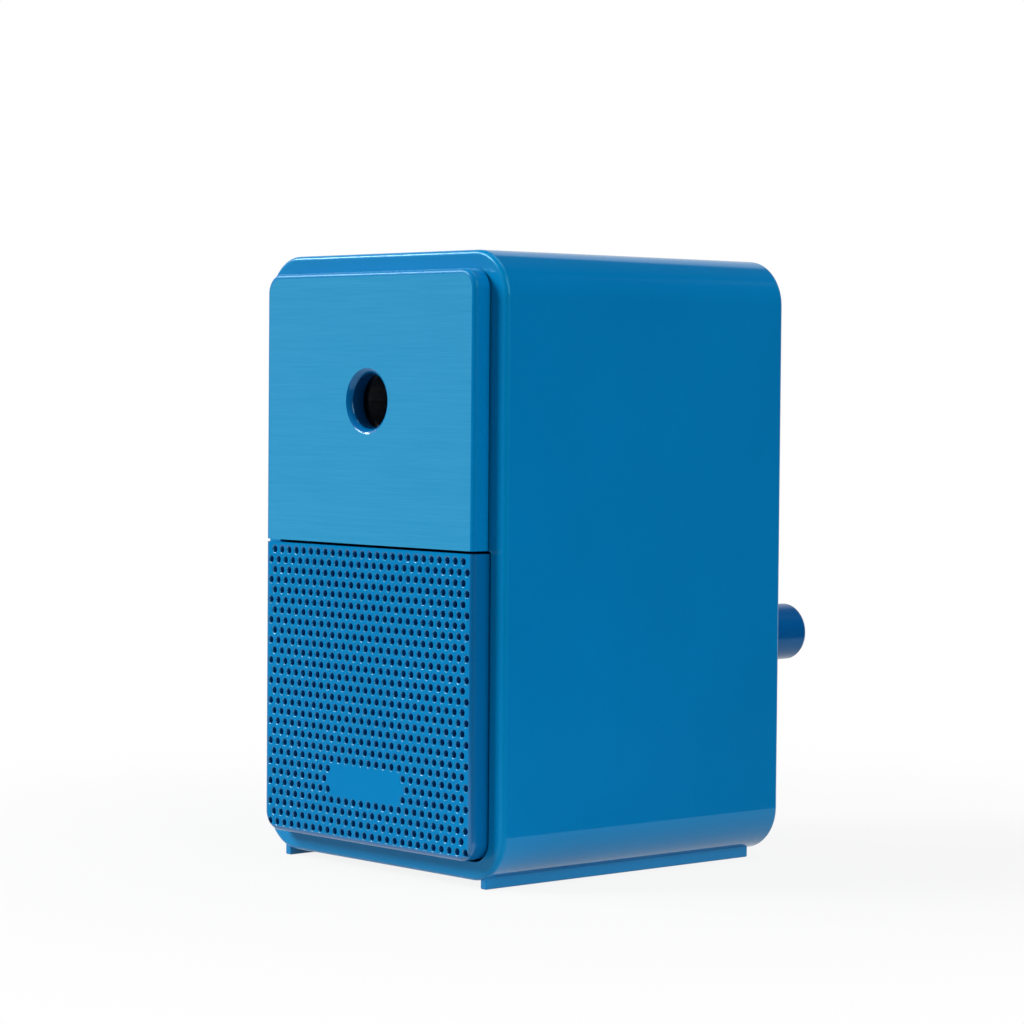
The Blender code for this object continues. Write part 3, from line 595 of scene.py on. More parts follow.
class FinishTree:
    """The nodes of one material, built on Object coordinates."""

    def __init__(self, name: str) -> None:
        """Start a material with one Principled surface.

        Args:
            name: The material's name.
        """
        self.material = bpy.data.materials.new(name)
        self.material.use_nodes = True
        self.nodes = self.material.node_tree.nodes
        self.nodes.clear()
        self.surface = self.nodes.new("ShaderNodeBsdfPrincipled").inputs
        output = self.nodes.new("ShaderNodeOutputMaterial")
        self.link(self.nodes[0].outputs[0], output.inputs["Surface"])
        self.object_place = self.nodes.new("ShaderNodeTexCoord").outputs["Object"]

    def link(self, start: bpy.types.NodeSocket, end: bpy.types.NodeSocket) -> None:
        """Link two sockets."""
        self.material.node_tree.links.new(start, end)

    def noise(self, stretch: Point, detail: float = 2.0, rough: float = 0.5) -> bpy.types.NodeSocket:
        """Add a noise over the surface.

        Args:
            stretch: How many waves a metre has along X, Y and Z.
            detail: How many octaves it has.
            rough: How strong the finer octaves are.

        Returns:
            The noise's value.
        """
        mapping = self.nodes.new("ShaderNodeMapping")
        mapping.inputs["Scale"].default_value = stretch
        self.link(self.object_place, mapping.inputs["Vector"])
        noise = self.nodes.new("ShaderNodeTexNoise")
        noise.inputs["Scale"].default_value = 1.0
        noise.inputs["Detail"].default_value = detail
        noise.inputs["Roughness"].default_value = rough
        self.link(mapping.outputs[0], noise.inputs["Vector"])
        return noise.outputs[0]

    def roughen(self, value: bpy.types.NodeSocket, low: float, high: float) -> None:
        """Vary the surface's roughness.

        Args:
            value: The noise that it follows.
            low: The roughness at the noise's usual low.
            high: The roughness at its usual high.
        """
        node = self.nodes.new("ShaderNodeMapRange")
        for label, number in zip(("From Min", "From Max", "To Min", "To Max"), (*NOISE_RANGE, low, high)):
            node.inputs[label].default_value = number
        self.link(value, node.inputs["Value"])
        self.link(node.outputs[0], self.surface["Roughness"])

    def reflect(self, level: float, tint: Colour) -> None:
        """Set how strongly the surface reflects, and in which colour."""
        self.surface["Specular IOR Level"].default_value = level
        self.surface["Specular Tint"].default_value = tint

    def added(self, first: bpy.types.NodeSocket, second: bpy.types.NodeSocket,
              share: float) -> bpy.types.NodeSocket:
        """Mix two noises.

        Args:
            first: The first noise's value.
            second: The second noise's value.
            share: The share of the second, from 0 to 1.

        Returns:
            The mixed value.
        """
        node = self.nodes.new("ShaderNodeMix")
        node.inputs["Factor"].default_value = share
        self.link(first, node.inputs["A"])
        self.link(second, node.inputs["B"])
        return node.outputs["Result"]

    def tint(self, value: bpy.types.NodeSocket, dark: Colour, light: Colour) -> None:
        """Colour the surface between two tones.

        Args:
            value: The noise that runs between them.
            dark: The tone at its low.
            light: The tone at its high.
        """
        ramp = self.nodes.new("ShaderNodeValToRGB")
        for stop, place, colour in zip(ramp.color_ramp.elements, NOISE_RANGE, (dark, light)):
            stop.position = place
            stop.color = colour
        self.link(value, ramp.inputs[0])
        self.link(ramp.outputs[0], self.surface["Base Color"])

    def bump(self, value: bpy.types.NodeSocket, depth: float, strength: float) -> None:
        """Raise the surface.

        Args:
            value: The noise that raises it.
            depth: The height between its low and high, in metres.
            strength: How much of it shows, from 0 to 1.
        """
        node = self.nodes.new("ShaderNodeBump")
        node.inputs["Distance"].default_value = depth
        node.inputs["Strength"].default_value = strength
        self.link(value, node.inputs["Height"])
        self.link(node.outputs[0], self.surface["Normal"])


@dataclass(frozen=True)
class MouldedPlastic:
    """Coloured plastic from a polished or a satin mould."""

    name: str
    colour: Colour
    roughness: float
    specular: float = 0.35
    gloss_tint: Colour = (0.25, 0.85, 1.0, 1.0)
    mottle: float = 0.03
    texture: float = 0.000003
    flow: Point = (38.0, 52.0, 30.0)
    peel: Point = (1500.0, 1500.0, 1500.0)
    gloss_range: Place = (0.85, 1.15)

    @cache
    def material(self) -> bpy.types.Material:
        """Make the plastic, with a faint flow mottle and the mould's fine texture.

        Returns:
            The material, which is made once.
        """
        tree = FinishTree(self.name)
        flow = tree.noise(self.flow, detail=3.0)
        tree.tint(flow, shaded(self.colour, 1 - self.mottle), shaded(self.colour, 1 + self.mottle))
        peel = tree.noise(self.peel)
        tree.roughen(peel, *(self.roughness * share for share in self.gloss_range))
        tree.reflect(self.specular, self.gloss_tint)
        tree.bump(peel, self.texture, strength=0.5)
        return tree.material


@dataclass(frozen=True)
class BrushedFoil:
    """A coloured face brushed in fine level lines."""

    name: str
    dark: Colour
    light: Colour
    roughness: float = 0.38
    line: float = 0.00014
    length: float = 0.0090
    broad_scale: float = 0.3
    broad_share: float = 0.25
    specular: float = 0.40
    gloss_tint: Colour = (0.15, 0.70, 0.95, 1.0)
    texture: float = 0.000006
    gloss_range: Place = (0.85, 1.2)

    @cache
    def material(self) -> bpy.types.Material:
        """Make the face, with short fine lines over long faint ones.

        Returns:
            The material, which is made once.
        """
        tree = FinishTree(self.name)
        along, over, scale = 1 / self.length, 1 / self.line, self.broad_scale
        fine = tree.noise((along, along, over), detail=3.0, rough=0.6)
        broad = tree.noise((scale * along, scale * along, scale * over))
        lines = tree.added(fine, broad, self.broad_share)
        tree.tint(lines, self.dark, self.light)
        tree.roughen(fine, *(self.roughness * share for share in self.gloss_range))
        tree.reflect(self.specular, self.gloss_tint)
        tree.bump(lines, self.texture, strength=0.35)
        return tree.material


@dataclass(frozen=True)
class WorkedMetal:
    """Bare or plated metal with the marks of how it was made."""

    name: str
    colour: Colour
    roughness: float
    stretch: Point = (900.0, 900.0, 900.0)
    texture: float = 0.000004
    cloud: Point = (70.0, 70.0, 70.0)
    cloud_share: float = 0.35
    tone_range: Place = (0.86, 1.08)
    gloss_range: Place = (0.75, 1.3)

    @cache
    def material(self) -> bpy.types.Material:
        """Make the metal, with tone and gloss that follow its grain.

        Returns:
            The material, which is made once.
        """
        tree = FinishTree(self.name)
        fine = tree.noise(self.stretch, detail=4.0, rough=0.6)
        grain = tree.added(fine, tree.noise(self.cloud), self.cloud_share)
        tree.tint(grain, *(shaded(self.colour, share) for share in self.tone_range))
        tree.roughen(grain, *(self.roughness * share for share in self.gloss_range))
        tree.surface["Metallic"].default_value = 1.0
        tree.bump(grain, self.texture, strength=0.5)
        return tree.material


SLEEVE_BLUE = MouldedPlastic("gloss_blue", srgb(0, 124, 188), 0.08, 0.50)
# The front rim has a softer, satin gloss; its colour is painted a little lighter than the sleeve's, as
# painted light from above.
RIM_SATIN_LIT_BLUE = MouldedPlastic("rim_blue", srgb(0, 130, 190), 0.24, 0.30, texture=0.0)
PANEL_BLUE = BrushedFoil("brushed_blue", srgb(30, 141, 190), srgb(48, 151, 200))
PANEL_EDGE_BLUE = MouldedPlastic("panel_edge_blue", srgb(0, 122, 184), 0.30, 0.20)
# Painted shade: the pencil hole's chamfer is painted darker than the panel's edges, and it reflects more
# strongly.
CHAMFER_SHADE_BLUE = MouldedPlastic("chamfer_blue", srgb(0, 106, 170), 0.16, 0.60, (0.50, 0.80, 1.0, 1.0),
                              texture=0.0)
# Painted shade: the pencil hole's bore is painted a dark navy, for the shade inside the hole.
BORE_SHADE_BLUE = MouldedPlastic("bore_blue", srgb(0, 66, 116), 0.30, 0.20)
DRAWER_BLUE = MouldedPlastic("satin_blue", srgb(0, 124, 184), 0.24, 0.05)
# Painted shade: the drawer front's edges, sides and back are painted darker than its face, for the shade on
# its side walls.
DRAWER_EDGE_SHADE_BLUE = MouldedPlastic("drawer_edge_blue", srgb(0, 100, 158), 0.16, 0.90, (0.60, 0.80, 1.0, 1.0))
# Painted highlight: the pits' lips are painted lighter than the face, and they reflect more strongly.
LIP_HIGHLIGHT_BLUE = MouldedPlastic("lip_blue", srgb(8, 132, 186), 0.22, 1.0, (0.85, 1.0, 1.0, 1.0), texture=0.0)
# Painted shade: the pits' walls are painted a darker blue than the face, for the shade inside them.
PIT_SHADE_BLUE = MouldedPlastic("pit_blue", srgb(0, 102, 162), 0.40, 0.20)
TRAY_BLUE = MouldedPlastic("tray_blue", srgb(6, 104, 160), 0.42)
# Painted shade: the knob is painted darker than the sleeve, for the shade of the body that it sits in.
KNOB_SHADE_BLUE = MouldedPlastic("knob_blue", srgb(0, 84, 148), 0.20)
BEARING_BLACK = MouldedPlastic("bearing_black", srgb(16, 17, 20), 0.50, 0.25, (1.0, 1.0, 1.0, 1.0))
CAST_ALLOY = WorkedMetal("cast_alloy", srgb(168, 170, 172), 0.44, (1400.0, 1400.0, 1400.0), 0.000012)
GROUND_STEEL = WorkedMetal("ground_steel", srgb(140, 142, 146), 0.30, (2600.0, 500.0, 2600.0))
PLATED_STEEL = WorkedMetal("plated_steel", srgb(198, 200, 204), 0.18, (600.0, 2600.0, 600.0), 0.000002)
TURNED_BRASS = WorkedMetal("turned_brass", srgb(204, 168, 98), 0.28, (900.0, 5200.0, 900.0))

Finish = MouldedPlastic | BrushedFoil | WorkedMetal


def show(name: str, mesh: bpy.types.Mesh, finish: Finish, body: Body, nodes: Sequence[str],
         sharp: float = 35.0) -> bpy.types.Object:
    """Put a finished piece in the place of its solids.

    Args:
        name: The piece's name.
        mesh: Its mesh, which is removed.
        finish: Its finish.
        body: The body that it rides on.
        nodes: The CAD nodes that it stands for.
        sharp: The angle in degrees from which an edge stays sharp.

    Returns:
        The piece's object.
    """
    piece = add_object(name, soften(mesh, sharp))
    piece.data.name = name
    piece.data.materials.clear()
    piece.data.materials.append(finish.material())
    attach(piece, body.value)
    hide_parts(*nodes)
    LOG.info("%s: %d faces on %s", name, len(piece.data.polygons), body.value)
    return piece


def dress(piece: bpy.types.Object, finishes: Sequence[Finish],
          pick: Callable[[bpy.types.MeshPolygon], Finish]) -> None:
    """Give each face of a piece one of several finishes.

    Args:
        piece: The piece, which has the first finish.
        finishes: The finishes in the order of the piece's material slots.
        pick: What tells the finish of a face.
    """
    for finish in finishes[1:]:
        piece.data.materials.append(finish.material())
    order = {finish.name: index for index, finish in enumerate(finishes)}
    for face in piece.data.polygons:
        face.material_index = order[pick(face).name]


@dataclass
class Fasteners:
    """Pan-head screws with a cross recess, and the tree that sets them in place."""

    usual_head: float = 0.0022
    head_round: float = 0.55
    head_foot: float = 0.06
    head_taper: float = 0.97
    crown_reach: float = 0.45
    recess_width: float = 0.00055
    recess_share: float = 0.60
    recess_depth: float = 0.0008
    recess_mouth: float = 1.2
    recess_round: float = 0.4
    recess_taper: float = 0.35
    thread_pitch: float = 0.0007
    thread_depth: float = 0.00018
    seed: int = 7
    tree: PatternTree = field(init=False)

    def __post_init__(self) -> None:
        """Build the tree that turns each screw by its own angle."""
        tree = PatternTree("screws_in_place", screw="Object", seed="Int")
        # The second output of this node is the one that gives a plain number.
        turn = tree.add("FunctionNodeRandomValue", {"Seed": tree.entry["seed"]}, data_type="FLOAT")[1]
        angle = tree.sum("MULTIPLY", turn, math.pi / 2)
        spin = tree.add("ShaderNodeCombineXYZ", {"Y": angle})[0]
        shape = tree.add("GeometryNodeObjectInfo", {"Object": tree.entry["screw"]})["Geometry"]
        placed = tree.add("GeometryNodeInstanceOnPoints", {
            "Points": tree.entry["Geometry"], "Instance": shape, "Rotation": spin})[0]
        tree.close(placed)
        self.tree = tree

    def screw(self, head_radius: float, head_height: float, radius: float, length: float) -> bpy.types.Mesh:
        """Make one screw with the seat of its head at the origin.

        Args:
            head_radius: The radius of the head.
            head_height: The height of the head.
            radius: The radius of the thread.
            length: The length of the thread.

        Returns:
            The screw's mesh, pointing to the front.
        """
        edge, foot = head_height * self.head_round, head_height * self.head_foot
        profile = [(0.0, head_height), (head_radius * self.crown_reach, head_height * self.head_taper)]
        profile += arc(head_radius - edge, head_height - edge - foot, edge, 75, 0)
        profile += [(head_radius, foot), (head_radius * self.head_taper, 0.0), (radius, 0.0)]
        core, half_pitch = radius - self.thread_depth, self.thread_pitch / 2
        for turn in range(1, int(length / self.thread_pitch) - 1):
            depth = -self.thread_pitch * turn
            profile += [(core, depth), (radius, depth - half_pitch)]
        profile += [(core, half_pitch - length), (radius / 2, -length), (0.0, -length)]
        solid = lathe("screw", profile, sides=28)
        reach = head_radius * self.recess_share
        half = self.recess_width / 2 * head_radius / self.usual_head
        corner = half * self.recess_round
        bars = []
        for across, tall in ((reach, half), (half, reach)):
            wide = Outline(-across, across, -tall, tall, corner, corner, 3)
            narrow = wide.inset(half * self.recess_taper)
            bars.append(loft("bar", [wide.ring(head_height * self.recess_mouth),
                                     narrow.ring(head_height - self.recess_depth)]))
        return carve(solid, carve(*bars, Join.ADD))

    def place(self, name: str, places: Sequence[Point], screw: bpy.types.Mesh, body: Body,
              nodes: Sequence[str]) -> None:
        """Set screws of one kind into one body.

        Args:
            name: The piece's name.
            places: Where the seats of the heads are.
            screw: The screw's mesh.
            body: The body that they ride on.
            nodes: The CAD nodes that they stand for.
        """
        spots = bpy.data.meshes.new(name)
        spots.from_pydata(places, [], [])
        shape = add_object("screw_shape", screw)
        grown = self.tree.grow(spots, screw=shape, seed=self.seed, finish=PLATED_STEEL.material())
        bpy.data.objects.remove(shape)
        show(name, grown, PLATED_STEEL, body, nodes)


@dataclass
class Sleeve:
    """The moulded sleeve of the body: closed at the front, open at the back, on two rails."""

    corner_radius: float = 0.0075
    wall: float = 0.0020
    front_wall: float = 0.0024
    edge_round: float = 0.0008
    rail_height: float = 0.0012
    rail_width: float = 0.0014
    rail_inset: float = 0.0045
    rail_front_setback: float = 0.0006
    rail_back_setback: float = 0.0026
    rail_round: float = 0.00025
    rail_end_round: float = 0.000225
    back_chamfer: float = 0.0002
    mouth_gap: float = 0.0004
    mouth_runout: float = 0.0005
    panel_radius: float = 0.0032
    split_radius: float = 0.0002
    bearing_hole: float = 0.0093
    runner_width: float = 0.0020
    runner_spacing: float = 0.0360
    runner_foot: float = 0.0002
    runner_round: float = 0.0004
    guide_height: float = 0.0015
    guide_length: float = 0.0380
    guide_overlap: float = 0.0015
    guide_round: float = 0.0003
    boss_radius: float = 0.0037
    boss_length: float = 0.0090
    boss_gap: float = 0.0003
    screw_hole: float = 0.0014
    screw_runout: float = 0.0005

    def build(self) -> None:
        """Build the sleeve and dress it, with a softer finish on its front rim that is painted a little
        lighter as painted light from above.
        """
        shell = self.shell()
        shell = carve(shell, self.ribs(), Join.ADD)
        shell = carve(shell, self.openings())
        piece = show("moulded_sleeve", shell, SLEEVE_BLUE, Body.HOUSING, ["housing_shell"])
        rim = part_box("housing_shell")[0].y + self.edge_round
        base = self.outline().bottom

        def pick(face: bpy.types.MeshPolygon) -> Finish:
            """Tell the front rim from the rest."""
            # The front rim gets a lighter, satin blue: painted light from above.
            return RIM_SATIN_LIT_BLUE if face.center.y < rim and face.center.z > base else SLEEVE_BLUE

        dress(piece, (SLEEVE_BLUE, RIM_SATIN_LIT_BLUE), pick)

    def outline(self) -> Outline:
        """Give the outline of the sleeve above its rails."""
        outline = outline_of("housing_shell", self.corner_radius, self.corner_radius, 20)
        return replace(outline, bottom=outline.bottom + self.rail_height)

    def shell(self) -> bpy.types.Mesh:
        """Skin the outside, the back rim and the inside as one closed wall.

        Returns:
            The wall's mesh.
        """
        low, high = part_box("housing_shell")
        outside = self.outline()
        inside = outside.inset(self.wall)
        rings = rounded_rings(outside, low.y, self.edge_round, 1)
        rings += rounded_rings(outside, high.y, self.edge_round, -1)[::-1]
        rings += [inside.inset(-self.back_chamfer).ring(high.y), inside.ring(high.y - self.back_chamfer),
                  inside.ring(low.y + self.front_wall)]
        return loft("moulded_sleeve", rings)

    def ribs(self) -> bpy.types.Mesh:
        """Make the rails under the sleeve, the drawer's runners and guides, and the screw bosses.

        Returns:
            The mesh of what is added to the wall.
        """
        low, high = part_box("housing_shell")
        drawer_low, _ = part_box("drawer_front")
        _, tray_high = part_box("drawer_tray")
        cover_low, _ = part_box("back_cover")
        outside = self.outline()
        grip = self.wall / 2
        rail = high.x - self.rail_inset - self.rail_width / 2
        side = rail + self.rail_width / 2 - high.x + self.corner_radius
        rise = self.corner_radius - math.sqrt(self.corner_radius ** 2 - max(0.0, side) ** 2)
        front = low.y + self.front_wall - grip
        guide = tray_high.z + self.mouth_gap
        solids = []
        for sign in (-1, 1):
            bar = Outline(sign * rail - self.rail_width / 2, sign * rail + self.rail_width / 2, low.z,
                          outside.bottom + rise + grip, self.rail_round, self.rail_round, 4)
            solids.append(plate("rail", bar, low.y + self.rail_front_setback, high.y - self.rail_back_setback,
                                self.rail_end_round, self.rail_end_round))
            runner = sign * self.runner_spacing / 2
            bar = Outline(runner - self.runner_width / 2, runner + self.runner_width / 2,
                          outside.bottom + self.wall - grip, drawer_low.z - self.mouth_gap,
                          self.runner_foot, self.runner_round, 3)
            solids.append(plate("runner", bar, front, tray_high.y))
            left, right = sorted((sign * (tray_high.x - self.guide_overlap),
                                  sign * (high.x - self.wall + grip)))
            bar = Outline(left, right, guide, guide + self.guide_height,
                          self.guide_round, self.guide_round, 3)
            solids.append(plate("guide", bar, front, low.y + self.front_wall + self.guide_length))
        end = cover_low.y - self.boss_gap
        for node in COVER_SCREWS:
            solids.append(bar_about(node, "boss", self.boss_radius, end, end - self.boss_length, 32))
        return merged("sleeve_ribs", solids)

    def openings(self) -> bpy.types.Mesh:
        """Make what cuts the drawer's mouth, the bearing's hole and the screw holes.

        Returns:
            The mesh of what is cut out of the wall.
        """
        low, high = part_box("housing_shell")
        front, inside = low.y - OVERSHOOT, low.y + self.front_wall
        mouth = outline_of("drawer_front", self.panel_radius, self.split_radius).inset(-self.mouth_gap)
        tools = [plate("mouth", mouth, front, inside + self.mouth_runout)]
        tools.append(bar_about("front_bearing", "bearing_hole", self.bearing_hole, front, inside + OVERSHOOT))
        for node in COVER_SCREWS:
            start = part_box(node)[0].y - self.screw_runout
            tools.append(bar_about(node, "screw_hole", self.screw_hole, start, high.y + OVERSHOOT, 24))
        return merged("sleeve_openings", tools)


@dataclass
class FrontPanel:
    """The raised upper panel with the pencil hole."""

    corner_radius: float = 0.0032
    edge_round: float = 0.0008
    hole_radius: float = 0.0045
    hole_chamfer: float = 0.0008
    chamfer_tilt: float = 25.0
    flat_normal: float = -0.999
    sharp: float = 20.0

    def build(self) -> None:
        """Build the panel and dress its face, its edges, and its bore and chamfer in darker blues as painted
        shade.
        """
        low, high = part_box("front_panel")
        outline = outline_of("front_panel", self.corner_radius, self.corner_radius, 16)
        solid = plate("brushed_panel", replace(outline, bottom=low.z - 2 * self.corner_radius), low.y, high.y,
                      self.edge_round)
        solid = carve(solid, slab("trim", low.z - 3 * self.corner_radius, low.z))
        solid = carve(solid, self.hole(low.y, high.y))
        piece = show("brushed_panel", solid, PANEL_BLUE, Body.HOUSING, ["front_panel"],
                     self.sharp)
        across, level = centre_of("front_bearing")

        def pick(face: bpy.types.MeshPolygon) -> Finish:
            """Tell the face, the edges, the bore and the chamfer apart.

            Args:
                face: A face of the piece.

            Returns:
                The face's finish.
            """
            x, y, z = face.center
            if face.normal.y < self.flat_normal and y < low.y + WELD * 10:
                return PANEL_BLUE
            if math.hypot(x - across, z - level) > self.hole_radius + self.hole_chamfer + WELD:
                return PANEL_EDGE_BLUE
            # The bore and the chamfer get darker blues than the edges: painted shade in the hole.
            return BORE_SHADE_BLUE if y > low.y + self.hole_chamfer else CHAMFER_SHADE_BLUE

        dress(piece, (PANEL_BLUE, PANEL_EDGE_BLUE, BORE_SHADE_BLUE, CHAMFER_SHADE_BLUE), pick)

    def hole(self, front: float, back: float) -> bpy.types.Mesh:
        """Make what cuts the pencil hole with its swelling chamfer.

        Args:
            front: The Y of the panel's face.
            back: The Y of the panel's back.

        Returns:
            The cutter's mesh.
        """
        wide = self.hole_radius + self.hole_chamfer
        tilt = math.radians(self.chamfer_tilt)
        bulge = self.hole_chamfer / (math.cos(tilt) - math.sin(tilt))
        profile = [(wide, front - OVERSHOOT)]
        profile += arc(wide + bulge * math.sin(tilt), front + bulge * math.cos(tilt), bulge,
                       270 - self.chamfer_tilt, 180 + self.chamfer_tilt)
        profile.append((self.hole_radius, back + OVERSHOOT))
        return lathe("pencil_hole", profile, centre_of("front_bearing"), 96)


@dataclass
class Drawer:
    """The drawer for the shavings: a proud front with rows of pits, and the tray behind it."""

    corner_radius: float = 0.0032
    split_radius: float = 0.0002
    edge_round: float = 0.0008
    back_round: float = 0.0003
    pit_radius: float = 0.00056
    pit_round: float = 0.00022
    pit_depth: float = 0.00240
    pit_lead: float = 0.0002
    pit_taper: float = 0.9
    pit_sides: int = 12
    lip_start: float = 0.1
    column_pitch: float = 0.00191
    row_pitch: float = 0.00168
    columns: int = 27
    rows: int = 28
    top_margin: float = 0.00124
    bare_width: float = 0.0182
    bare_height: float = 0.0046
    bare_level: float = 0.0099
    tray_wall: float = 0.0015
    tray_round: float = 0.0004
    hollow_round: float = 0.0010
    hollow_rise: float = 0.004
    sharp: float = 50.0

    def build(self) -> None:
        """Build the grilled front and the tray, and dress them: the pits and the front's edges in darker
        blues as painted shade, the lips lighter as a painted highlight.
        """
        low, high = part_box("drawer_front")
        outline = outline_of("drawer_front", self.corner_radius, self.corner_radius, 16)
        solid = plate("grilled_front", replace(outline, top=high.z + 2 * self.corner_radius), low.y, high.y,
                      self.edge_round, self.back_round)
        solid = carve(solid, slab("trim", high.z, high.z + 3 * self.corner_radius))
        pit = add_object("pit_shape", self.pit())
        grilled = self.grille().grow(
            solid, pit=pit, columns=self.columns, rows=self.rows, column_pitch=self.column_pitch,
            row_pitch=self.row_pitch, top_row=high.z - self.top_margin, face_depth=low.y,
            bare_width=self.bare_width, bare_height=self.bare_height, bare_level=low.z + self.bare_level,
            finish=DRAWER_BLUE.material())
        bpy.data.objects.remove(pit)
        piece = show("grilled_front", grilled, DRAWER_BLUE, Body.DRAWER, ["drawer_front"],
                     self.sharp)
        flat = outline.inset(self.edge_round)

        def pick(face: bpy.types.MeshPolygon) -> Finish:
            """Tell the face, the lips, the pits and the edges apart.

            Args:
                face: A face of the piece.

            Returns:
                The face's finish.
            """
            x, y, z = face.center
            inside = flat.left < x < flat.right and flat.bottom < z < flat.top
            # The front's edges, sides and back get a darker blue: painted shade.
            if not inside or y > low.y + self.pit_depth + WELD:
                return DRAWER_EDGE_SHADE_BLUE
            # The pits' walls below the lips get a darker blue: painted shade.
            if y > low.y + self.pit_round:
                return PIT_SHADE_BLUE
            # The lips get a lighter, glossier blue: a painted highlight.
            return LIP_HIGHLIGHT_BLUE if y > low.y + self.pit_round * self.lip_start else DRAWER_BLUE

        dress(piece, (DRAWER_BLUE, LIP_HIGHLIGHT_BLUE, PIT_SHADE_BLUE, DRAWER_EDGE_SHADE_BLUE), pick)
        show("shavings_tray", self.tray(), TRAY_BLUE, Body.DRAWER, ["drawer_tray"])

    def pit(self) -> bpy.types.Mesh:
        """Make what cuts one pit, with a rounded lip and the face at the origin.

        Returns:
            The cutter's mesh.
        """
        wide = self.pit_radius + self.pit_round
        profile = [(wide, -self.pit_lead)]
        profile += arc(wide, self.pit_round, self.pit_round, 270, 180, 3)
        profile.append((self.pit_radius * self.pit_taper, self.pit_depth))
        return lathe("pit_shape", profile, sides=self.pit_sides)

    def grille(self) -> PatternTree:
        """Build the tree that cuts staggered rows of pits round a bare field.

        Returns:
            The tree, ready to run on the front.
        """
        tree = PatternTree("drawer_grille", pit="Object", columns="Int", rows="Int", column_pitch="Float",
                           row_pitch="Float", top_row="Float", face_depth="Float", bare_width="Float",
                           bare_height="Float", bare_level="Float")
        entry = tree.entry
        width = tree.sum("MULTIPLY", tree.sum("SUBTRACT", entry["columns"], 1.0), entry["column_pitch"])
        height = tree.sum("MULTIPLY", tree.sum("SUBTRACT", entry["rows"], 1.0), entry["row_pitch"])
        grid = tree.add("GeometryNodeMeshGrid", {
            "Size X": width, "Size Y": height,
            "Vertices X": entry["columns"], "Vertices Y": entry["rows"]})[0]
        middle = tree.sum("SUBTRACT", entry["top_row"], tree.half(height))
        shift = tree.add("ShaderNodeCombineXYZ", {"Y": entry["face_depth"], "Z": middle})[0]
        upright = tree.add("GeometryNodeTransform", {"Geometry": grid, "Translation": shift,
                                                     "Rotation": (math.pi / 2, 0.0, 0.0)})[0]
        place = tree.add("ShaderNodeSeparateXYZ", {0: tree.add("GeometryNodeInputPosition", {})[0]})
        drop = tree.sum("DIVIDE", tree.sum("SUBTRACT", entry["top_row"], place["Z"]), entry["row_pitch"])
        odd = tree.sum("FLOORED_MODULO", tree.sum("ROUND", drop), 2.0)
        half_pitch = tree.half(entry["column_pitch"])
        nudge = tree.sum("MULTIPLY", tree.sum("SUBTRACT", 1.0, odd), half_pitch)
        staggered = tree.add("GeometryNodeSetPosition", {
            "Geometry": upright, "Offset": tree.add("ShaderNodeCombineXYZ", {"X": nudge})[0]})[0]
        edge = tree.sum("ADD", tree.half(width), tree.half(half_pitch))
        beyond = tree.test("GREATER_THAN", place["X"], edge)
        off_level = tree.sum("ABSOLUTE", tree.sum("SUBTRACT", place["Z"], entry["bare_level"]))
        level = tree.test("LESS_THAN", off_level, tree.half(entry["bare_height"]))
        off_centre = tree.sum("ABSOLUTE", place["X"])
        across = tree.test("LESS_THAN", off_centre, tree.half(entry["bare_width"]))
        bare = tree.add("FunctionNodeBooleanMath", {0: level, 1: across}, operation="AND")[0]
        dropped = tree.add("FunctionNodeBooleanMath", {0: bare, 1: beyond}, operation="OR")[0]
        kept = tree.add("GeometryNodeDeleteGeometry", {"Geometry": staggered, "Selection": dropped})[0]
        shape = tree.add("GeometryNodeObjectInfo", {"Object": entry["pit"]})["Geometry"]
        pits = tree.add("GeometryNodeInstanceOnPoints", {"Points": kept, "Instance": shape})[0]
        solids = tree.add("GeometryNodeRealizeInstances", {"Geometry": pits})[0]
        cut = tree.add("GeometryNodeMeshBoolean", {"Mesh 1": entry["Geometry"], "Mesh 2": solids},
                       operation="DIFFERENCE", solver="MANIFOLD")[0]
        tree.close(cut)
        return tree

    def tray(self) -> bpy.types.Mesh:
        """Make the open tray with rounded inside corners.

        Returns:
            The tray's mesh.
        """
        low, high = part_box("drawer_tray")
        outline = outline_of("drawer_tray", self.corner_radius, self.split_radius, 10)
        solid = plate("shavings_tray", outline, low.y, high.y, self.tray_round, self.tray_round)
        inside = replace(outline.inset(self.tray_wall), top=high.z + self.hollow_rise)
        hollow = plate("tray_hollow", inside, low.y + self.tray_wall, high.y - self.tray_wall,
                       self.hollow_round, self.hollow_round)
        return carve(solid, hollow)


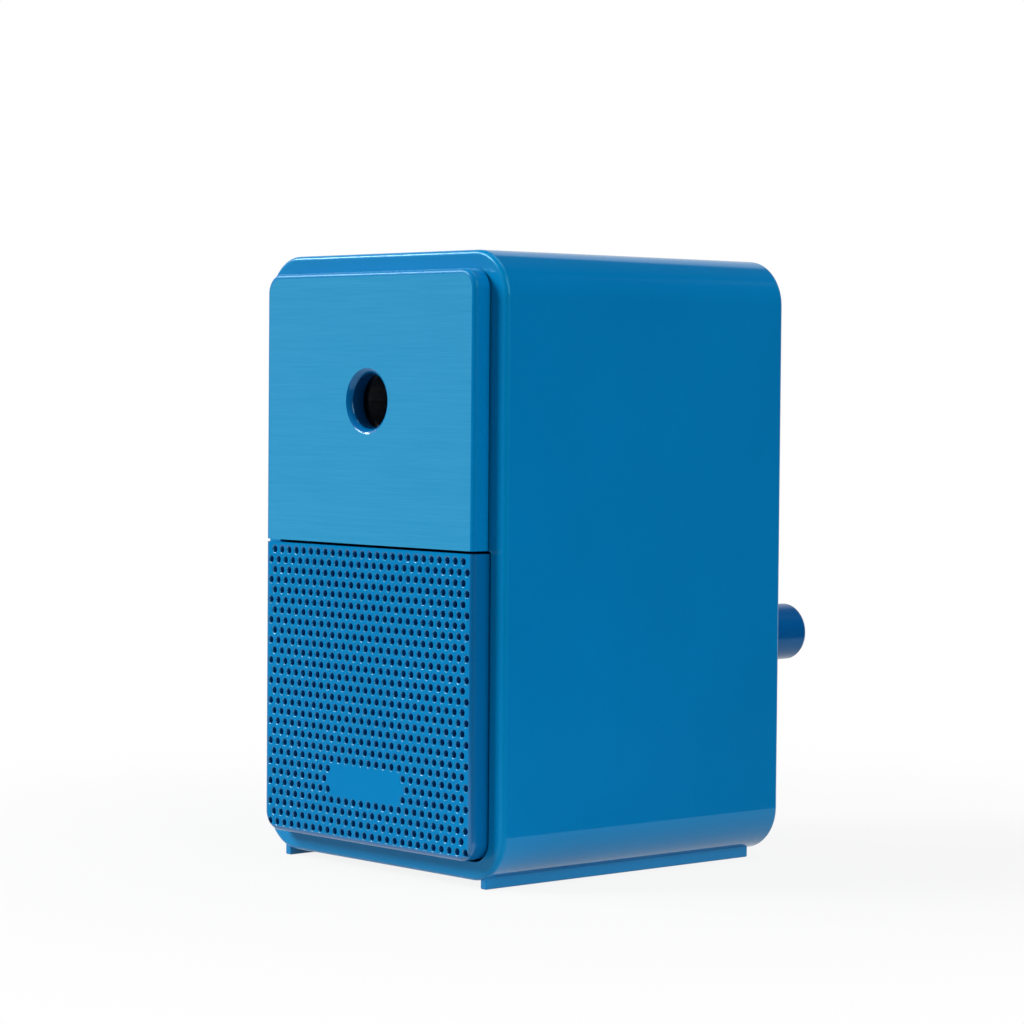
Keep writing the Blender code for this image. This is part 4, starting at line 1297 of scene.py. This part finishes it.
@dataclass
class BackCover:
    """The cover in the back of the sleeve, with its screws and the bush of the crank shaft."""

    corner_radius: float = 0.0052
    edge_round: float = 0.0004
    screw_hole: float = 0.0014
    bush_hole: float = 0.0056
    bush_round: float = 0.0004
    bush_gap: float = 0.0003
    shaft_hole: float = 0.0033
    screw_radius: float = 0.0011
    screw_head: float = 0.0022
    screw_head_height: float = 0.0015

    def build(self, fasteners: Fasteners) -> None:
        """Build the cover, the bush and the screws, and dress them.

        Args:
            fasteners: What makes the screws.
        """
        low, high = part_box("back_cover")
        outline = outline_of("back_cover", self.corner_radius, self.corner_radius, 16)
        solid = plate("back_cover_plate", outline, low.y, high.y, 0.0, self.edge_round)
        ends = low.y - OVERSHOOT, high.y + OVERSHOOT
        tools = [bar_about(node, "hole", self.screw_hole, *ends, 24) for node in COVER_SCREWS + GEAR_SCREWS]
        tools.append(bar_about("shaft_bush", "hole", self.bush_hole, *ends))
        solid = carve(solid, merged("cover_holes", tools))
        show("back_cover_plate", solid, SLEEVE_BLUE, Body.HOUSING, ["back_cover"])
        show("turned_bush", self.bush(), TURNED_BRASS, Body.HOUSING, ["shaft_bush"])
        for name, nodes in (("cover_screws", COVER_SCREWS), ("gear_screws", GEAR_SCREWS)):
            first_low, first_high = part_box(nodes[0])
            seat = first_high.y - self.screw_head_height
            screw = fasteners.screw(self.screw_head, self.screw_head_height, self.screw_radius,
                                    seat - first_low.y)
            places = [(x, seat, z) for x, z in map(centre_of, nodes)]
            fasteners.place(name, places, screw, Body.HOUSING, nodes)

    def bush(self) -> bpy.types.Mesh:
        """Make the flanged bush with rounded rims.

        Returns:
            The bush's mesh.
        """
        low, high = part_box("shaft_bush")
        flange = (high.x - low.x) / 2
        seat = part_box("back_cover")[1].y + self.bush_gap
        sleeve = self.bush_hole - self.bush_gap
        rim = self.bush_round
        profile = arc(self.shaft_hole + rim, high.y - rim, rim, 180, 90)
        profile += arc(flange - rim, high.y - rim, rim, 90, 0)
        profile += [(flange, seat), (sleeve, seat), (sleeve, low.y), (self.shaft_hole, low.y)]
        return lathe("turned_bush", profile, centre_of("shaft_bush"), 72, True)


@dataclass
class Crank:
    """The flat plated arm with its screw, and the knob that turns on its pin."""

    arm_round: float = 0.0004
    socket: float = 0.00235
    socket_round: float = 0.0003
    pin_hole: float = 0.0020
    pin_radius: float = 0.0017
    pin_head: float = 0.0030
    pin_head_height: float = 0.0016
    pin_head_round: float = 0.0005
    pin_crown: float = 0.00004
    pin_crown_edge: float = 0.0001
    knob_round: float = 0.0010
    knob_bore: float = 0.0020
    knob_sink: float = 0.0033
    sink_gap: float = 0.0003
    sink_chamfer: float = 0.0002
    screw_radius: float = 0.0011
    screw_head_height: float = 0.0015

    def build(self, fasteners: Fasteners) -> None:
        """Build the arm, knob, pin and screw, and dress them.

        Args:
            fasteners: What makes the screw.
        """
        show("crank_arm_plate", self.arm(), PLATED_STEEL, Body.CRANK, ["crank_arm"])
        # The knob's darker blue is painted shade.
        show("turning_knob", self.knob(), KNOB_SHADE_BLUE, Body.KNOB, ["crank_knob"])
        show("knob_rivet", self.pin(), PLATED_STEEL, Body.CRANK, ["knob_pin"])
        low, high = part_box("crank_screw")
        seat = high.y - self.screw_head_height
        screw = fasteners.screw((high.x - low.x) / 2, self.screw_head_height, self.screw_radius, seat - low.y)
        x, z = centre_of("crank_screw")
        fasteners.place("crank_end_screw", [(x, seat, z)], screw, Body.CRANK, ["crank_screw"])

    def arm(self) -> bpy.types.Mesh:
        """Make the arm with round ends, a square socket and the pin's hole.

        Returns:
            The arm's mesh.
        """
        low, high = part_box("crank_arm")
        end = (high.x - low.x) / 2 - WELD * 10
        solid = plate("crank_arm_plate", outline_of("crank_arm", end, end, 24), low.y, high.y,
                      self.arm_round, self.arm_round)
        x, z = centre_of("crank_screw")
        square = Outline(x - self.socket, x + self.socket, z - self.socket, z + self.socket,
                         self.socket_round, self.socket_round, 3)
        ends = low.y - OVERSHOOT, high.y + OVERSHOOT
        tools = [plate("socket", square, *ends), bar_about("knob_pin", "pin_hole", self.pin_hole, *ends, 40)]
        return carve(solid, merged("arm_holes", tools))

    def knob(self) -> bpy.types.Mesh:
        """Make the knob with rounded ends and the sink for the pin's head.

        Returns:
            The knob's mesh.
        """
        low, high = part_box("crank_knob")
        outer = (high.x - low.x) / 2 - self.knob_round
        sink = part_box("knob_pin")[1].y - self.pin_head_height - self.sink_gap
        profile = arc(outer, high.y - self.knob_round, self.knob_round, 90, 0, 8)
        profile += arc(outer, low.y + self.knob_round, self.knob_round, 0, -90, 8)
        profile += [(self.knob_bore, low.y), (self.knob_bore, sink), (self.knob_sink, sink)]
        profile += [(self.knob_sink, high.y - self.sink_chamfer),
                    (self.knob_sink + self.sink_chamfer, high.y)]
        return lathe("turning_knob", profile, centre_of("crank_knob"), 96, True)

    def pin(self) -> bpy.types.Mesh:
        """Make the pin with its domed head.

        Returns:
            The pin's mesh.
        """
        low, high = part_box("knob_pin")
        under = high.y - self.pin_head_height
        rim = self.pin_head_round
        profile = [(0.0, high.y), (self.pin_head / 2, high.y - self.pin_crown)]
        profile += arc(self.pin_head - rim, high.y - rim - self.pin_crown_edge, rim, 80, 0)
        profile += [(self.pin_head, under), (self.pin_radius, under), (self.pin_radius, low.y), (0.0, low.y)]
        return lathe("knob_rivet", profile, centre_of("knob_pin"), 48)


@dataclass
class Mechanism:
    """The cutting parts inside the sleeve, which keep their solids."""

    finishes: dict[str, tuple[Finish, Slot]] = field(default_factory=lambda: {
        "front_bearing": (BEARING_BLACK, Slot.BEARING),
        "ring_gear": (CAST_ALLOY, Slot.CAST),
        "cutter_carrier": (CAST_ALLOY, Slot.CAST),
        "cutter_axle": (PLATED_STEEL, Slot.PLATED),
        "crank_shaft": (PLATED_STEEL, Slot.PLATED),
        "helical_cutter": (GROUND_STEEL, Slot.CUTTER),
        "cutter_pinion": (TURNED_BRASS, Slot.BRASS),
    })

    def build(self) -> None:
        """Dress each part that has no finer piece in its place."""
        for name, (finish, slot) in self.finishes.items():
            node = frame["nodes"][name]
            node.data.materials.clear()
            node.data.materials.append(finish.material())
            LOG.info("%s: dressed", name)


@dataclass
class Studio:
    """A pale floor, a white surround and soft lamps."""

    floor_reach: float = 0.20
    floor_tone: Colour = (0.60, 0.60, 0.60, 1.0)
    fade: Place = (0.06, 0.19)
    fade_levels: Place = (0.88, 1.0)
    card_end: Place = (0.068, 0.072)
    surround: float = 0.08
    dim: float = 0.08
    seen_level: float = 0.75
    dim_above: Place = (0.59, 0.66)
    dim_right: Place = (0.0, 0.50)
    dim_front: Place = (-0.72, -0.88)
    aim: Point = (0.0, 0.0, 0.05)

    def build(self) -> None:
        """Build the floor, the surround and the lamps."""
        self.floor()
        self.world()
        self.lamp("key_lamp", (-0.95, -1.20, 0.95), size=0.6, power=27.5)
        self.lamp("side_lamp", (1.35, -0.10, 0.75), size=1.0, power=13.5)
        self.lamp("top_lamp", (0.15, 0.25, 1.30), size=0.9, power=5.0)
        self.lamp("edge_lamp", (-0.97, -0.47, 0.73), size=0.18, power=5.0)
        LOG.info("studio: floor, surround and lamps")

    def floor(self) -> None:
        """Make the floor, which takes the shadow near the object and fades to white."""
        reach = self.floor_reach
        mesh = bpy.data.meshes.new("floor")
        mesh.from_pydata([(-reach, -reach, 0), (reach, -reach, 0), (reach, reach, 0), (-reach, reach, 0)], [],
                         [(0, 1, 2, 3)])
        material = bpy.data.materials.new("pale_floor")
        material.use_nodes = True
        tree = material.node_tree
        nodes, links = tree.nodes, tree.links
        nodes.clear()
        matt = nodes.new("ShaderNodeBsdfDiffuse")
        matt.inputs["Color"].default_value = self.floor_tone
        glow = nodes.new("ShaderNodeEmission")
        place = nodes.new("ShaderNodeTexCoord").outputs["Object"]
        far = nodes.new("ShaderNodeVectorMath")
        far.operation = "LENGTH"
        links.new(place, far.inputs[0])
        across = nodes.new("ShaderNodeSeparateXYZ")
        links.new(place, across.inputs[0])
        camera = nodes.new("ShaderNodeLightPath").outputs["Is Camera Ray"]
        card = self.ramp(tree, across.outputs["X"], self.card_end, (1.0, self.dim))
        links.new(self.joined(tree, "MAXIMUM", camera, card), glow.inputs["Strength"])
        fade = self.ramp(tree, far.outputs["Value"], self.fade, self.fade_levels)
        share = self.joined(tree, "MAXIMUM", fade, self.ramp(tree, camera, (0.0, 1.0), (1.0, 0.0)))
        mix = nodes.new("ShaderNodeMixShader")
        links.new(self.joined(tree, "MULTIPLY", share, self.seen_rays(tree)), mix.inputs[0])
        links.new(matt.outputs[0], mix.inputs[1])
        links.new(glow.outputs[0], mix.inputs[2])
        links.new(mix.outputs[0], nodes.new("ShaderNodeOutputMaterial").inputs["Surface"])
        mesh.materials.append(material)
        add_object("floor", mesh)

    def seen_rays(self, tree: bpy.types.NodeTree) -> bpy.types.NodeSocket:
        """Tell the rays that see the background from those that only light the object.

        Args:
            tree: The node tree that asks.

        Returns:
            An output that is 1 for camera, glossy and transmission rays.
        """
        path = tree.nodes.new("ShaderNodeLightPath").outputs
        total = path["Is Camera Ray"]
        for label in ("Is Glossy Ray", "Is Transmission Ray"):
            total = self.joined(tree, "MAXIMUM", total, path[label])
        return total

    def joined(self, tree: bpy.types.NodeTree, operation: str, first: bpy.types.NodeSocket,
               second: bpy.types.NodeSocket) -> bpy.types.NodeSocket:
        """Join two numbers.

        Args:
            tree: The node tree.
            operation: The sum to do.
            first: The first number.
            second: The second number.

        Returns:
            The result.
        """
        node = tree.nodes.new("ShaderNodeMath")
        node.operation = operation
        tree.links.new(first, node.inputs[0])
        tree.links.new(second, node.inputs[1])
        return node.outputs[0]

    def ramp(self, tree: bpy.types.NodeTree, value: bpy.types.NodeSocket, span: Place,
             levels: Place) -> bpy.types.NodeSocket:
        """Run smoothly from one level to another.

        Args:
            tree: The node tree.
            value: The number to follow.
            span: Where the change starts and ends.
            levels: The levels before and after it.

        Returns:
            The level.
        """
        node = tree.nodes.new("ShaderNodeMapRange")
        node.interpolation_type = "SMOOTHSTEP"
        for label, number in zip(("From Min", "From Max", "To Min", "To Max"), span + levels):
            node.inputs[label].default_value = number
        tree.links.new(value, node.inputs["Value"])
        return node.outputs[0]

    def world(self) -> None:
        """Make a surround that is white where it is seen, and dim above, right and front in reflections."""
        world = bpy.data.worlds.new("studio_surround")
        world.use_nodes = True
        tree = world.node_tree
        nodes, links = tree.nodes, tree.links
        direction = nodes.new("ShaderNodeSeparateXYZ")
        links.new(nodes.new("ShaderNodeTexCoord").outputs["Generated"], direction.inputs[0])
        shown = self.ramp(tree, direction.outputs["Z"], self.dim_above, (self.seen_level, self.dim))
        for axis, span in (("X", self.dim_right), ("Y", self.dim_front)):
            dimmed = self.ramp(tree, direction.outputs[axis], span, (1.0, self.dim))
            shown = self.joined(tree, "MULTIPLY", shown, dimmed)
        shown = self.joined(tree, "MAXIMUM", shown, nodes.new("ShaderNodeLightPath").outputs["Is Camera Ray"])
        level = nodes.new("ShaderNodeMapRange")
        level.inputs["To Min"].default_value = self.surround
        links.new(shown, level.inputs["To Max"])
        links.new(self.seen_rays(tree), level.inputs["Value"])
        back = nodes["Background"]
        back.inputs["Color"].default_value = (1.0, 1.0, 1.0, 1.0)
        links.new(level.outputs[0], back.inputs["Strength"])
        bpy.context.scene.world = world

    def lamp(self, name: str, place: Point, size: float, power: float) -> None:
        """Add a soft lamp that faces the object.

        Args:
            name: The lamp's name.
            place: Where it stands.
            size: The side of its square.
            power: Its power in watts.
        """
        data = bpy.data.lights.new(name, "AREA")
        data.size = size
        data.energy = power
        lamp = bpy.data.objects.new(name, data)
        lamp.location = place
        lamp.rotation_euler = (Vector(self.aim) - Vector(place)).to_track_quat("-Z", "Y").to_euler()
        bpy.context.scene.collection.objects.link(lamp)


@dataclass
class Viewpoint:
    """The camera, set by where it looks from."""

    azimuth: float = 48.2342
    elevation: float = 2.1439
    roll: float = 0.4705
    distance: float = 0.54933
    target: Point = (-0.0020576, -0.01595, 0.0576889)
    focal_pixels: float = 3271.4953
    nearest: float = 0.01

    def build(self) -> None:
        """Make the camera and use it."""
        azimuth, elevation, roll = map(math.radians, (self.azimuth, self.elevation, self.roll))
        back = Vector((math.sin(azimuth) * math.cos(elevation), -math.cos(azimuth) * math.cos(elevation),
                       math.sin(elevation)))
        right = Vector((math.cos(azimuth), math.sin(azimuth), 0.0))
        up = back.cross(right)
        across = math.cos(roll) * right + math.sin(roll) * up
        upward = math.cos(roll) * up - math.sin(roll) * right
        data = bpy.data.cameras.new("viewpoint")
        data.sensor_width = SENSOR_MM
        data.lens = self.focal_pixels / IMAGE_PIXELS * SENSOR_MM
        data.clip_start = self.nearest
        camera = bpy.data.objects.new("viewpoint", data)
        turn = Matrix((across, upward, back)).transposed().to_4x4()
        camera.matrix_world = Matrix.Translation(Vector(self.target) + back * self.distance) @ turn
        bpy.context.scene.collection.objects.link(camera)
        bpy.context.scene.camera = camera
        LOG.info("viewpoint: azimuth %.1f, elevation %.1f", self.azimuth, self.elevation)


def main() -> None:
    """Build the sub-assemblies, the studio and the camera in order."""
    logging.basicConfig(level=logging.INFO, format="%(message)s")
    fasteners = Fasteners()
    Sleeve().build()
    FrontPanel().build()
    Drawer().build()
    BackCover().build(fasteners)
    Crank().build(fasteners)
    Mechanism().build()
    Studio().build()
    Viewpoint().build()
    bpy.context.scene.view_settings.view_transform = "Standard"


if __name__ == "__main__":
    main()
